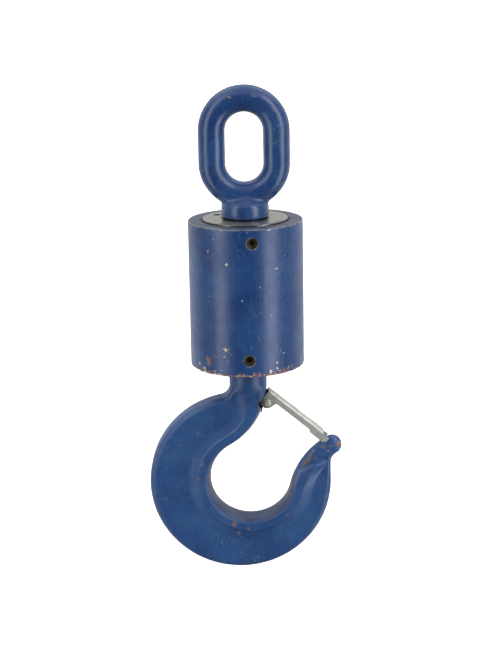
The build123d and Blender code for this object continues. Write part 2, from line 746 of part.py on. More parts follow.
def all_parts():
    screws = screw_places()
    parts = {
        "weight_body": weight_body(),
        "top_gland_ring": gland_ring(eye_swivel, screws[0][0], upper_screw_height),
        "bottom_gland_ring": FLIP * gland_ring(hook_swivel, -screws[1][0], lower_screw_height),
        "upper_lock_screw": lock_screw(*screws[0]),
        "lower_lock_screw": lock_screw(*screws[1]),
        "lifting_eye": lifting_eye(),
        "hook": hook(),
        "latch": latch(),
        "latch_bolt": latch_bolt(),
        "latch_nut": latch_nut(),
        "latch_spring": latch_spring(),
    }
    parts.update(swivel_parts("eye", eye_swivel, Pos()))
    parts.update(swivel_parts("hook", hook_swivel, FLIP))
    return parts


os.makedirs("parts", exist_ok=True)
origin = Pos(0, 0, -eye_high_centre)
for name, shape in all_parts().items():
    placed = origin * shape
    export_step(placed, f"parts/{name}.step")
    print(name, len(placed.solids()))
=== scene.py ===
"""Crane hook block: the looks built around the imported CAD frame.

Shapes are built in millimetres in the row frame and turned into metres when a mesh is made.
The eye, the weight, the gland rings, the hook, the latch, its bolt, nut and spring are rebuilt
as detailed meshes.  The seals, bushes, screws and the pieces inside keep their CAD shapes.
"""
import json
import math

import bmesh
import bpy
from mathutils import Matrix, Vector, noise


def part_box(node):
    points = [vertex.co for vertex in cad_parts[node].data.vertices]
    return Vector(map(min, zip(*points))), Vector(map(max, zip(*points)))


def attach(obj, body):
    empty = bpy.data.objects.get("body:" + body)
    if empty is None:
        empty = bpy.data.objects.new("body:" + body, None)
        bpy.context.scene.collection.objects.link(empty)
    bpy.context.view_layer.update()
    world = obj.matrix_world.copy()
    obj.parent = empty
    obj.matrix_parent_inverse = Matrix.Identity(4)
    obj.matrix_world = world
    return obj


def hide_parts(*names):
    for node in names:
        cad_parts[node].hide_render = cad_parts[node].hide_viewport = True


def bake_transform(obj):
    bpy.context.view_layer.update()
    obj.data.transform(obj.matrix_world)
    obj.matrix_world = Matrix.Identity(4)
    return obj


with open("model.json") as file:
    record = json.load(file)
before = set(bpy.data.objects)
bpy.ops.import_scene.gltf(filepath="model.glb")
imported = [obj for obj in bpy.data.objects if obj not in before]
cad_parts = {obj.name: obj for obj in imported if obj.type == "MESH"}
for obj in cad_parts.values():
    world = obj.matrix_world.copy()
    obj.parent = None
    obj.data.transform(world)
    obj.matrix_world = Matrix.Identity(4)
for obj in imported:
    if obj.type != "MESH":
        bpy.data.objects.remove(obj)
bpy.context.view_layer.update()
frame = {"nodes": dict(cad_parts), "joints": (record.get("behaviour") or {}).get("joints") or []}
nodes = frame["nodes"]
MM = 0.001


def box_mm(node):
    """A CAD node's lowest and highest corners in millimetres."""
    low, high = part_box(node)
    return low / MM, high / MM


def radius_mm(node):
    """Half of a round node's width."""
    low, high = box_mm(node)
    return (high.x - low.x) / 2


# ---- places from the frame
body_low, body_high = box_mm("weight_body")
TOP, BOTTOM = body_high.z, body_low.z
SKIN = 0.05     # the weight's shell stays this far inside its CAD solid
BODY_RADIUS = radius_mm("weight_body") - SKIN
ring_low, ring_high = box_mm("top_gland_ring")
RING_RADIUS = radius_mm("top_gland_ring")
RING_PROUD = ring_high.z - TOP
RING_SEAT = TOP - ring_low.z
ENDS = ("eye", "hook")
LOCK_SCREWS = ("upper_lock_screw", "lower_lock_screw")
BUSH_RADIUS = {end: radius_mm(f"{end}_bush") for end in ENDS}
BEARING_RADIUS = {end: radius_mm(f"{end}_shaft_washer") for end in ENDS}
latch_joint = next(j for j in frame["joints"] if j["name"] == "latch_hinge")
PIVOT = Vector((latch_joint["pos_m"][0] / MM, latch_joint["pos_m"][2] / MM))

# ---- sizes the frame's boxes don't give
RING_SEAT_WIDTH = 5.0
GROOVE_WIDTH = 1.2
GROOVE_DEPTH = 1.5
BEARING_SEAT = 2.0
POCKET_GAP = 4.0
SPANNER_ANGLES = (150.0, 60.0)
SPANNER_RADIUS = 4.0
SPANNER_INSET = 11.0
SPANNER_DEPTH = 10.0
LOCK_SCREW_RADIUS = 6.0

EYE_BAR = 14.0
EYE_OPENING_RADIUS = 19.5
EYE_OPENING_HEIGHT = 72.2
COLLAR_RADIUS = 25.0
COLLAR_HEIGHT = 13.0
COLLAR_GAP = 1.0
SHANK_RADIUS = {"eye": 20.0, "hook": 17.5}
THREAD_STEP = 2.0
NUT_PIN_RADIUS = 4.0

NECK_RADIUS = 20.0
BOWL_RADIUS = 43.2
BOWL = Vector((1.4, BOTTOM - 127.7))
THROAT_TOP = BOTTOM - 22.3
BACK_DEPTH = 65.4
BACK_RADIUS = BOWL_RADIUS + 52.5
FRONT_RADIUS = BOWL_RADIUS + 54.3
OUTER_SINK = 3.0
SHOULDER_FILLET = 12.0
NOSE_START = -13.0
TIP_RADIUS = 10.2
TIP = BOWL + Vector((BOWL_RADIUS + 44.7, 35.1))
HOLLOW_RADIUS = 12.0
WEB_HALF = 15.0
BEAD_HALF = 19.0
SADDLE_CROWN = 40.0
SADDLE_HALF = 16.2
OUTER_EDGE = 5.0
NOSE_HALF = 6.6
FACET_TOP = Vector((66.5, BOTTOM - 99.5))
FACET_CORNER = Vector((71.5, BOTTOM - 110.3))
FACET_DIP = 1.3
TAPER_HEIGHT = 36.0
LATCH_SWEEP = 83.3      # from the pivot, how far the latch's end reaches over the nose
LUG_HALF = 3.0
LUG_RADIUS = 6.8
RELIEF_RADIUS = 8.4
RELIEF_LENGTH = 16.0

LATCH_SLOPE = 39.65
LATCH_HALF = 8.0
LATCH_SHEET = 1.5
LATCH_TOP = 11.65
LATCH_BEND = 1.9
LATCH_HEEL = 6.4
LATCH_EAR = 6.9
LATCH_SIDE_BOTTOM = 4.6
LATCH_FLARE = 1.2
LATCH_FLARE_START = 54.0
LATCH_FLARE_BOTTOM = 2.5
LATCH_WEB_END = 68.5
LATCH_SIDE_END = 77.0
LATCH_END_CHAMFER = 3.2
BOLT_RADIUS = 2.5
SPRING_WIRE = 0.65
SPRING_COIL = 3.9
SPRING_PITCH = 1.4
SPRING_ARM = 38.0
SPRING_LEG = (12.4, 240.0)


# ---- plane geometry
def polar(centre, radius, degrees):
    angle = math.radians(degrees)
    return centre + Vector((math.cos(angle), math.sin(angle))) * radius


def bearing(centre, point):
    """Direction from a centre to a point, in degrees."""
    return math.degrees(math.atan2(point[1] - centre[1], point[0] - centre[0]))


def spread(start, end, count):
    """Evenly spaced numbers, both ends included."""
    return [start + (end - start) * i / (count - 1) for i in range(count)]


def smooth(low, high, value):
    t = min(1.0, max(0.0, (value - low) / (high - low)))
    return t * t * (3 - 2 * t)


def mix(a, b, share):
    return a + (b - a) * share


def plan(point):
    """Where a point lies seen from above."""
    return Vector((point.x, point.y))


def front_view(point):
    """Where a point lies seen from the front."""
    return Vector((point.x, point.z))


def latch_point(along, above):
    """A point of the closed latch, from distances along it and above its pivot."""
    angle = math.radians(-LATCH_SLOPE)
    ahead = Vector((math.cos(angle), math.sin(angle)))
    up = Vector((-math.sin(angle), math.cos(angle)))
    return PIVOT + ahead * along + up * above


def rounded(corners, steps=5):
    """Outline with its corners rounded: each corner is (r, z, fillet radius)."""
    points = []
    count = len(corners)
    for i, (x, z, radius) in enumerate(corners):
        here = Vector((x, z))
        if radius == 0 or i in (0, count - 1):
            points.append(here)
            continue
        before = (Vector(corners[i - 1][:2]) - here).normalized()
        after = (Vector(corners[i + 1][:2]) - here).normalized()
        half = before.angle(after) / 2
        reach = radius / math.tan(half)
        for t in spread(0, 1, steps):
            a = here + before * reach * (1 - t) ** 2
            points.append(a + after * reach * t ** 2)
    return points


def refined(points, step):
    """The same outline with its long runs divided."""
    out = [points[0]]
    for a, b in zip(points, points[1:]):
        parts = max(1, math.ceil((b - a).length / step))
        out += [a.lerp(b, i / parts) for i in range(1, parts + 1)]
    return out


# ---- mesh building
def new_piece(name, verts, faces, smooth_angle=35.0):
    """A mesh object from points in millimetres."""
    mesh = bpy.data.meshes.new(name)
    mesh.from_pydata([Vector(v) * MM for v in verts], [], faces)
    piece = bpy.data.objects.new(name, mesh)
    bpy.context.scene.collection.objects.link(piece)
    tidy_normals(piece, smooth_angle)
    return piece


def tidy_normals(piece, smooth_angle=35.0):
    work = bmesh.new()
    work.from_mesh(piece.data)
    bmesh.ops.remove_doubles(work, verts=work.verts, dist=0.004 * MM)
    bmesh.ops.dissolve_degenerate(work, edges=work.edges, dist=0.002 * MM)
    bmesh.ops.recalc_face_normals(work, faces=work.faces)
    work.to_mesh(piece.data)
    work.free()
    piece.data.shade_smooth()
    piece.data.set_sharp_from_angle(angle=math.radians(smooth_angle))


def ring_faces(rows, columns, wrap_rows=False):
    """Quads between rows of points; each row is a closed loop."""
    faces = []
    last = rows if wrap_rows else rows - 1
    for i in range(last):
        for j in range(columns):
            a, b = i * columns + j, i * columns + (j + 1) % columns
            c, d = ((i + 1) % rows) * columns + (j + 1) % columns, ((i + 1) % rows) * columns + j
            faces.append((a, b, c, d))
    return faces


def lathe(name, outline, segments=180, closed=False, axis="Z", centre=(0, 0)):
    """Outline of (radius, height) points turned about an axis.  An open one starts and ends on it."""
    verts = []
    for r, h in outline:
        for k in range(segments):
            turn = 2 * math.pi * k / segments
            x, y = r * math.cos(turn), r * math.sin(turn)
            verts.append((x, y, h) if axis == "Z" else (centre[0] + x, h, centre[1] + y))
    faces = ring_faces(len(outline), segments, wrap_rows=closed)
    return new_piece(name, verts, faces)


def extruded(name, outline, low, high):
    """Flat piece: an outline in XZ between two values of Y."""
    count = len(outline)
    verts = [(p[0], low, p[1]) for p in outline] + [(p[0], high, p[1]) for p in outline]
    faces = [tuple(range(count)), tuple(range(2 * count - 1, count - 1, -1))]
    faces += [(i, (i + 1) % count, count + (i + 1) % count, count + i) for i in range(count)]
    return new_piece(name, verts, faces)


def tube(name, path, radius, sides=14):
    """Round wire along a list of points, with rounded ends."""
    points = [Vector(p) for p in path]
    tangents = []
    for i in range(len(points)):
        ahead = points[min(i + 1, len(points) - 1)]
        behind = points[max(i - 1, 0)]
        tangents.append((ahead - behind).normalized())
    normal = tangents[0].orthogonal().normalized()
    rings = []
    for i, (point, tangent) in enumerate(zip(points, tangents)):
        if i:
            normal = tangents[i - 1].rotation_difference(tangent) @ normal
        rings.append((point, tangent, normal.copy(), radius))
    point, tangent, normal = rings[0][:3]
    caps = [(math.cos(a) * radius, math.sin(a) * radius) for a in (1.5, 1.1, 0.6)]
    start = [(point - tangent * s, tangent, normal, c) for c, s in caps]
    point, tangent, normal = rings[-1][:3]
    end = [(point + tangent * s, tangent, normal, c) for c, s in reversed(caps)]
    verts = []
    for point, tangent, normal, size in start + rings + end:
        side = tangent.cross(normal)
        for k in range(sides):
            turn = 2 * math.pi * k / sides
            verts.append(point + (normal * math.cos(turn) + side * math.sin(turn)) * size)
    count = len(start + rings + end)
    faces = ring_faces(count, sides)
    faces += [tuple(range(sides)), tuple(range((count - 1) * sides, count * sides))]
    return new_piece(name, verts, faces)


def apply_modifiers(piece):
    graph = bpy.context.evaluated_depsgraph_get()
    mesh = bpy.data.meshes.new_from_object(piece.evaluated_get(graph))
    piece.modifiers.clear()
    piece.data = mesh


def join(name, pieces):
    """One object from several, without merging their surfaces."""
    work = bmesh.new()
    for piece in pieces:
        work.from_mesh(piece.data)
        bpy.data.objects.remove(piece)
    mesh = bpy.data.meshes.new(name)
    work.to_mesh(mesh)
    work.free()
    joined = bpy.data.objects.new(name, mesh)
    bpy.context.scene.collection.objects.link(joined)
    return joined


def carve(piece, tool, operation):
    """Boolean with a tool that is used up."""
    step = piece.modifiers.new("carve", "BOOLEAN")
    step.operation = operation
    step.solver = "EXACT"
    step.object = tool
    bpy.context.view_layer.update()
    apply_modifiers(piece)
    bpy.data.objects.remove(tool)
    tidy_normals(piece)


def rod_tool(name, radius, start, end, segments=48):
    """Round cutter between two points."""
    a, b = Vector(start), Vector(end)
    turn = Vector((0, 0, 1)).rotation_difference(b - a).to_matrix()
    length = (b - a).length
    verts = []
    for height in (0, length):
        for k in range(segments):
            angle = 2 * math.pi * k / segments
            verts.append(a + turn @ Vector((radius * math.cos(angle), radius * math.sin(angle), height)))
    faces = ring_faces(2, segments) + [tuple(range(segments)), tuple(range(segments, 2 * segments))]
    return new_piece(name, verts, faces)


def ripple(piece, amount, scale, seed):
    """Slight unevenness of a forged or hand-painted surface, inwards only."""
    mesh = piece.data
    offset = Vector((seed * 7.3, seed * 3.1, seed * 5.7))
    moves = []
    for vertex in mesh.vertices:
        value = noise.noise(vertex.co / MM / scale + offset)
        moves.append(vertex.co - vertex.normal * (0.5 + 0.5 * value) * amount * MM)
    for vertex, place in zip(mesh.vertices, moves):
        vertex.co = place
    mesh.update()


def mark(piece, name, measure, read=lambda vertex: vertex.co / MM):
    """Stores a number from 0 to 1 on each vertex for the material to read."""
    layer = piece.data.attributes.new(name, "FLOAT", "POINT")
    layer.data.foreach_set("value", [measure(read(vertex)) for vertex in piece.data.vertices])


# ---- the weight body
def screw_axis(node):
    """Height and outward direction of a lock screw."""
    low, high = box_mm(node)
    middle = (low + high) / 2
    return middle.z, Vector((middle.x, middle.y, 0)).normalized()


def nick(point, depth, reach):
    """Dents along the weight's edges, deepest at the corner itself."""
    turn = plan(point).normalized() * BODY_RADIUS
    coarse = noise.noise(Vector((turn.x, turn.y, point.z)) / 5.0)
    fine = noise.noise(Vector((turn.x, turn.y, point.z + 40)) / 1.7)
    return depth * smooth(0.0, 0.5, coarse + 0.4 * fine) * reach


def make_body():
    seat = RING_SEAT
    cavity = RING_RADIUS - RING_SEAT_WIDTH
    top_pocket = box_mm("lifting_eye")[0].z - POCKET_GAP
    bottom_pocket = box_mm("hook")[1].z + POCKET_GAP
    groove = RING_RADIUS + GROOVE_WIDTH
    outline = [(0, top_pocket, 0), (cavity, top_pocket, 1.0), (cavity, TOP - seat, 0),
               (RING_RADIUS, TOP - seat, 0), (RING_RADIUS, TOP - GROOVE_DEPTH, 0),
               (groove, TOP - GROOVE_DEPTH, 0), (groove, TOP, 0.4), (BODY_RADIUS, TOP, 1.6),
               (BODY_RADIUS, BOTTOM, 2.4), (groove, BOTTOM, 0.4), (groove, BOTTOM + GROOVE_DEPTH, 0),
               (RING_RADIUS, BOTTOM + GROOVE_DEPTH, 0), (RING_RADIUS, BOTTOM + seat, 0),
               (cavity, BOTTOM + seat, 0), (cavity, bottom_pocket, 1.0), (0, bottom_pocket, 0)]
    body = lathe("weight_shell", refined(rounded(outline, 7), 2.0), segments=540)
    holes = []
    for node in LOCK_SCREWS:
        z, way = screw_axis(node)
        at = Vector((0, 0, z))
        holes.append(rod_tool("hole", LOCK_SCREW_RADIUS, at + way * (RING_RADIUS - 1),
                              at + way * (BODY_RADIUS + 5)))
    for vertex in body.data.vertices:
        point = vertex.co / MM
        radius = plan(point).length
        if radius < BODY_RADIUS - 3:
            continue
        low_edge = smooth(4.5, 0.0, point.z - BOTTOM)
        high_edge = smooth(3.0, 0.0, TOP - point.z)
        dent = nick(point, 0.9, low_edge) + nick(point, 0.45, high_edge)
        vertex.co -= Vector((point.x, point.y, 0)).normalized() * dent * MM
    carve(body, join("holes", holes), "DIFFERENCE")

    def wear(point):
        """Chipped low edge; the high edge is only rubbed."""
        radius = plan(point).length
        if radius < BODY_RADIUS - 6:
            return 0.0
        low = smooth(5.5, 1.0, point.z - BOTTOM)
        high = smooth(2.2, 0.2, TOP - point.z) * smooth(BODY_RADIUS - 3, BODY_RADIUS - 0.5, radius)
        return max(low * 1.05, high * 0.3)

    mark(body, "wear", wear)
    mark(body, "bore", lambda point: float(
        plan(point).length < BODY_RADIUS - 0.4 and BOTTOM + 2 < point.z < TOP - 2))
    # The top corner, where a pale line goes: worn paint with a painted highlight.
    mark(body, "edge", lambda point: smooth(
        1.9, 0.5, abs(TOP - point.z) + abs(BODY_RADIUS - plan(point).length)))
    # End faces, which the material greys: matt paint with a painted sheen.
    mark(body, "rim", lambda normal: smooth(0.6, 0.9, abs(normal.z)), read=lambda vertex: vertex.normal)
    return body


def make_gland_ring(end):
    """Drawn for the top; the bottom one is turned over."""
    bore = BUSH_RADIUS[end]
    top = RING_PROUD
    seat = BEARING_RADIUS[end] + 0.1
    outline = [(bore, top, 0), (RING_RADIUS, top, 0.6), (RING_RADIUS, -RING_SEAT, 0.3),
               (seat, -RING_SEAT, 0), (seat, -RING_SEAT + BEARING_SEAT, 0),
               (bore, -RING_SEAT + BEARING_SEAT, 0), (bore, top, 0)]
    points = refined(rounded(outline, 4), 4.0)[:-1]
    ring = lathe(f"{end}_gland", points, segments=300, closed=True)
    holes = []
    for angle in SPANNER_ANGLES:
        centre = polar(Vector((0, 0)), RING_RADIUS - SPANNER_INSET, angle)
        holes.append(rod_tool("spanner", SPANNER_RADIUS, (centre.x, centre.y, top - SPANNER_DEPTH),
                              (centre.x, centre.y, top + 5)))
    carve(ring, join("spanners", holes), "DIFFERENCE")
    if end == "eye":
        ring.data.transform(Matrix.Translation((0, 0, TOP * MM)))
    else:
        flip = Matrix.Translation((0, 0, BOTTOM * MM)) @ Matrix.Rotation(math.pi, 4, "X")
        ring.data.transform(flip)
    return ring


# ---- the lifting eye
def stem(end, start):
    """Shank and thread from the collar to the free end, with the hole for the nut's pin."""
    low, high = box_mm(f"{end}_nut")
    pin_low, pin_high = box_mm(f"{end}_nut_pin")
    node_low, node_high = box_mm("lifting_eye" if end == "eye" else "hook")
    tip = node_low.z if end == "eye" else node_high.z
    shoulder = high.z if end == "eye" else low.z
    radius = SHANK_RADIUS[end]
    thread = radius - THREAD_STEP
    outline = [(0, start, 0), (radius, start, 0), (radius, shoulder, 0), (thread, shoulder, 0),
               (thread, tip, 1.0), (0, tip, 0)]
    rod = lathe(f"{end}_stem", rounded(outline, 3), segments=120)
    middle = (pin_low.z + pin_high.z) / 2
    carve(rod, rod_tool("pin", NUT_PIN_RADIUS, (0, -40, middle), (0, 40, middle)), "DIFFERENCE")
    return rod


def make_eye():
    """Bent bar and collar, melted together and softened where they meet."""
    circle = EYE_OPENING_RADIUS + EYE_BAR
    low_centre = EYE_OPENING_RADIUS - EYE_OPENING_HEIGHT + EYE_OPENING_RADIUS
    path = [polar(Vector((0, 0)), circle, a) for a in spread(0, 180, 61)]
    path += [polar(Vector((0, low_centre)), circle, a) for a in spread(180, 360, 61)]
    path = refined([Vector(p) for p in path] + [path[0]], 2.5)[:-1]
    sides = 56
    verts = []
    for i, point in enumerate(path):
        ahead = (path[(i + 1) % len(path)] - path[i - 1]).normalized()
        out = Vector((ahead.y, -ahead.x))
        for k in range(sides):
            turn = 2 * math.pi * k / sides
            flat = point + out * math.cos(turn) * EYE_BAR
            verts.append((flat.x, math.sin(turn) * EYE_BAR, flat.y))
    bar = new_piece("bar", verts, ring_faces(len(path), sides, wrap_rows=True))

    base = TOP + RING_PROUD + COLLAR_GAP
    collar_top = base + COLLAR_HEIGHT
    collar = lathe("collar", refined(rounded([
        (0, base, 0), (COLLAR_RADIUS, base, 3.0), (COLLAR_RADIUS, collar_top + 1, 7.0),
        (EYE_BAR + 1.5, collar_top + 9, 0), (0, collar_top + 9, 0)], 7), 2.0), segments=120)
    eye = join("eye_forging", [bar, collar])
    melt = eye.modifiers.new("melt", "REMESH")
    melt.mode = "VOXEL"
    melt.voxel_size = 0.85 * MM
    apply_modifiers(eye)

    group = eye.vertex_groups.new(name="blend")
    for vertex in eye.data.vertices:
        z = vertex.co.z / MM
        share = smooth(base + 4.5, base + 8, z) * smooth(collar_top + 24, collar_top + 10, z)
        group.add([vertex.index], max(share, 0.03), "REPLACE")
    soften = eye.modifiers.new("soften", "SMOOTH")
    soften.factor = 0.5
    soften.iterations = 60
    soften.vertex_group = "blend"
    apply_modifiers(eye)
    eye.vertex_groups.clear()
    ripple(eye, 0.16, 9.0, 1)
    carve(eye, stem("eye", base + 5), "UNION")

    def wear(point):
        """Rubbed where a hook bears inside the top arc, and a little on the shoulders."""
        reach = Vector((point.x, max(point.z, 0))).length
        bearing_zone = smooth(3.0, 0.3, abs(reach - EYE_OPENING_RADIUS)) * smooth(-2, 12, point.z)
        shoulder = smooth(6.0, 0.0, abs(reach - circle - 4)) * smooth(0, 15, point.z)
        return max(bearing_zone * 0.75, shoulder * 0.42)

    mark(eye, "wear", wear)
    return eye


# ---- the hook
class HookLines:
    """Tangent arcs of the hook's side view."""

    def __init__(self):
        self.throat, self.throat_radius = self.arc_from_neck(NECK_RADIUS, THROAT_TOP, BOWL_RADIUS)
        direction = math.radians(NOSE_START)
        way = Vector((math.cos(direction), math.sin(direction)))
        to_tip = TIP - BOWL
        total = BOWL_RADIUS + TIP_RADIUS
        reach = (to_tip.length_squared - total ** 2) / (2 * (to_tip.dot(way) - total))
        self.nose = BOWL + way * reach
        self.nose_radius = reach - BOWL_RADIUS
        heel_x = BOWL.x - BOWL_RADIUS - BACK_DEPTH
        height = BOWL.y - OUTER_SINK
        self.back = Vector((heel_x + BACK_RADIUS, height))
        self.front = Vector((heel_x + FRONT_RADIUS, height))
        self.outer_x = heel_x + 2 * FRONT_RADIUS
        hollow_x = self.outer_x + HOLLOW_RADIUS
        span = TIP_RADIUS + HOLLOW_RADIUS
        self.hollow = Vector((hollow_x, TIP.y - math.sqrt(span ** 2 - (hollow_x - TIP.x) ** 2)))
        shoulder_x = -NECK_RADIUS - SHOULDER_FILLET
        rise = math.sqrt((BACK_RADIUS + SHOULDER_FILLET) ** 2 - (shoulder_x - self.back.x) ** 2)
        self.shoulder = Vector((shoulder_x, height + rise))
        self.outer = self.outer_line()

    @staticmethod
    def arc_from_neck(start_x, start_z, radius):
        dx, dz = start_x - BOWL.x, start_z - BOWL.y
        arc = (dx * dx + dz * dz - radius * radius) / (2 * (radius + dx))
        return Vector((start_x - arc, start_z)), arc

    def outer_line(self):
        """Outside of the hook from the neck round to the knob."""
        line = [Vector((-NECK_RADIUS, BOTTOM + 30))]
        to_back = bearing(self.shoulder, self.back)
        line += [polar(self.shoulder, SHOULDER_FILLET, a) for a in spread(0, to_back, 24)]
        start = bearing(self.back, self.shoulder)
        line += [polar(self.back, BACK_RADIUS, a) for a in spread(start, 180, 120)]
        line += [polar(self.front, FRONT_RADIUS, a) for a in spread(180, 360, 240)]
        to_tip = bearing(self.hollow, TIP)
        line += [polar(self.hollow, HOLLOW_RADIUS, a) for a in spread(180, to_tip, 24)]
        line += [polar(TIP, TIP_RADIUS, a) for a in spread(to_tip - 180, 118, 60)]
        return line

    def exit_from(self, point, way):
        """Distance along a ray to the outside of the hook."""
        best = None
        for a, b in zip(self.outer, self.outer[1:]):
            edge = b - a
            cross = way.x * edge.y - way.y * edge.x
            if abs(cross) < 1e-9:
                continue
            gap = a - point
            along = (gap.x * edge.y - gap.y * edge.x) / cross
            share = (gap.x * way.y - gap.y * way.x) / cross
            if along > 1.0 and -1e-6 <= share <= 1 + 1e-6 and (best is None or along < best):
                best = along
        return best

    def stations(self):
        """(inner point, outward direction, distance across, how far past the neck) along the hook."""
        rows = []
        top = BOTTOM - RING_PROUD - COLLAR_GAP
        for z in spread(top, THROAT_TOP, 12)[:-1]:
            rows.append((Vector((NECK_RADIUS, z)), Vector((-1, 0)), (THROAT_TOP - z) / 82.0))
        turn = -bearing(self.throat, BOWL)
        for a in spread(0, turn, 44)[:-1]:
            rows.append((polar(self.throat, self.throat_radius, -a),
                         -polar(Vector((0, 0)), 1, -a), a / turn))
        for a in spread(180 - turn, 360 + NOSE_START, 150)[:-1]:
            way = polar(Vector((0, 0)), 1, a)
            rows.append((BOWL + way * BOWL_RADIUS, way, 1.0))
        start = bearing(self.nose, BOWL)
        end = bearing(self.nose, TIP)
        for a in spread(start % 360, end % 360, 64):
            way = polar(Vector((0, 0)), 1, a)
            rows.append((self.nose + way * self.nose_radius, -way, 1.0))
        return [(p, way, self.exit_from(p, way), share) for p, way, share in rows]

    def knob(self):
        """Chords across the round nose tip: (inner point, direction, distance, share of thickness)."""
        axis = (self.nose - TIP).normalized()
        ahead = Vector((-axis.y, axis.x))
        rows = []
        for a in spread(0, 84, 14)[1:]:
            offset = TIP_RADIUS * math.sin(math.radians(a))
            half = TIP_RADIUS * math.cos(math.radians(a))
            rows.append((TIP + ahead * offset - axis * half, axis, 2 * half, half / TIP_RADIUS))
        return rows


def hook_section(across, past_neck):
    """Half of a section: (distance from the inside, half thickness) from the inside to the outside."""
    real, across = across, max(across, 2 * TIP_RADIUS)
    u = 1 - smooth(0.0, 0.62, past_neck)
    ridge = min(mix(13.0, 27.0, u), across * 0.55)
    cove = min(mix(24.5, 37.0, u), across * 0.76)
    edge = min(OUTER_EDGE, across * 0.18)
    points = []
    for y in spread(0, SADDLE_HALF, 9):
        points.append((SADDLE_CROWN - math.sqrt(SADDLE_CROWN ** 2 - y * y), y))
    lean = math.asin(SADDLE_HALF / SADDLE_CROWN)
    corner = BEAD_HALF - SADDLE_HALF
    start = points[-1][0]
    for a in spread(lean, math.pi / 2, 8)[1:]:
        share = (math.sin(a) - math.sin(lean)) / (1 - math.sin(lean))
        points.append((start + corner * (math.cos(lean) - math.cos(a)), SADDLE_HALF + corner * share))
    start = points[-1][0]
    for t in spread(0, 1, 6)[1:]:
        points.append((mix(start, ridge, t), BEAD_HALF - 0.25 * math.sin(math.pi * t)))
    for t in spread(0, 1, 20)[1:]:
        fall = 0.3 * smooth(0.0, 0.16, t) + 0.7 * mix(t, smooth(0.0, 1.0, t), 0.3)
        points.append((mix(ridge, cove, t), mix(BEAD_HALF, WEB_HALF, fall)))
    for t in spread(0, 1, 10)[1:]:
        points.append((mix(cove, across - edge, t), WEB_HALF))
    for a in spread(math.pi / 6, math.pi / 2, 12)[1:]:
        points.append((across - edge + edge * (2 * math.sin(a) - 1),
                       WEB_HALF - edge * (math.sqrt(3) - 2 * math.cos(a))))
    last = points[-1][1]
    for t in spread(0, 1, 5)[1:]:
        points.append((across, last * (1 - t)))
    count = len(points) - 1
    blend = smooth(-0.06, 0.24, past_neck)
    merged = []
    for i, (d, y) in enumerate(points):
        a = math.pi * i / count
        round_d, round_y = across / 2 * (1 - math.cos(a)), NECK_RADIUS * math.sin(a)
        merged.append((mix(round_d, d, blend) * real / across, mix(round_y, y, blend)))
    return merged


def nose_half(flat, y, thin):
    """Half thickness thinned towards the nose: a flat plate under the latch's end, a facet beside it."""
    if flat.x <= 40 or flat.y <= thin - TAPER_HEIGHT - 8:
        return y
    web = mix(WEB_HALF, NOSE_HALF, smooth(thin - TAPER_HEIGHT, thin + 2, flat.y))
    step = smooth(LATCH_SWEEP - 1, LATCH_SWEEP + 1, (flat - PIVOT).length)
    step *= smooth(thin + 4, thin - 1, flat.y)
    bead = mix(web, BEAD_HALF, step)
    above_web = max(0.0, y - WEB_HALF) / (BEAD_HALF - WEB_HALF)
    half = mix(web, bead, above_web) * min(y / WEB_HALF, 1.0)
    beyond = (flat - FACET_CORNER).dot(Vector((0.93, 0.36)))
    dip = (1 - step) * smooth(0.6, -0.6, beyond) * smooth(thin - 30, thin - 20, flat.y)
    return half - min(FACET_DIP * dip, half * 0.2)


def forge_hook(lines):
    """The forging as a loft of closed sections from the neck to the knob."""
    groups = [(p, way, across, share, 1.0) for p, way, across, share in lines.stations()]
    groups += [(p, way, across, 1.0, share) for p, way, across, share in lines.knob()]
    verts = []
    for point, way, across, share, swell in groups:
        half = []
        for d, y in hook_section(across, share):
            flat = point + way * d
            half.append((flat, nose_half(flat, y, lines.hollow.y) * swell))
        loop = 2 * len(half) - 2
        verts += [(flat.x, -y, flat.y) for flat, y in half]
        verts += [(flat.x, y, flat.y) for flat, y in reversed(half[1:-1])]
    faces = ring_faces(len(groups), loop)
    faces += [tuple(range(loop)), tuple(range((len(groups) - 1) * loop, len(groups) * loop))]
    return new_piece("hook_forging", verts, faces, 60.0)


def relief_tools(up):
    """Slot-shaped cutters on both sides of the lug, so that the latch's ears clear the neck."""
    along = (up - PIVOT).normalized()
    start = bearing(Vector((0, 0)), Vector((-along.y, along.x)))
    slot = [polar(up, RELIEF_RADIUS, a) for a in spread(start, start - 180, 25)]
    slot += [polar(PIVOT, RELIEF_RADIUS, a) for a in spread(start - 180, start - 360, 25)]
    sides = ((-30, -LUG_HALF), (LUG_HALF, 30))
    return join("reliefs", [extruded("relief", slot, low, high) for low, high in sides])


def make_lug():
    """The plate that holds the latch's bolt; its upper edge stops the latch."""
    rest = LATCH_TOP - LATCH_SHEET - 0.15
    ear = [latch_point(-LATCH_HEEL + 0.3, rest), latch_point(-1.0, rest)]
    first = bearing(PIVOT, latch_point(LUG_RADIUS, 0))
    ear += [polar(PIVOT, LUG_RADIUS, a) for a in spread(first, first - 75, 14)]
    ear += [Vector((12.0, PIVOT.y - LUG_RADIUS)), Vector((12.0, PIVOT.y + 2 * LUG_RADIUS))]
    return extruded("lug", ear, -LUG_HALF, LUG_HALF)


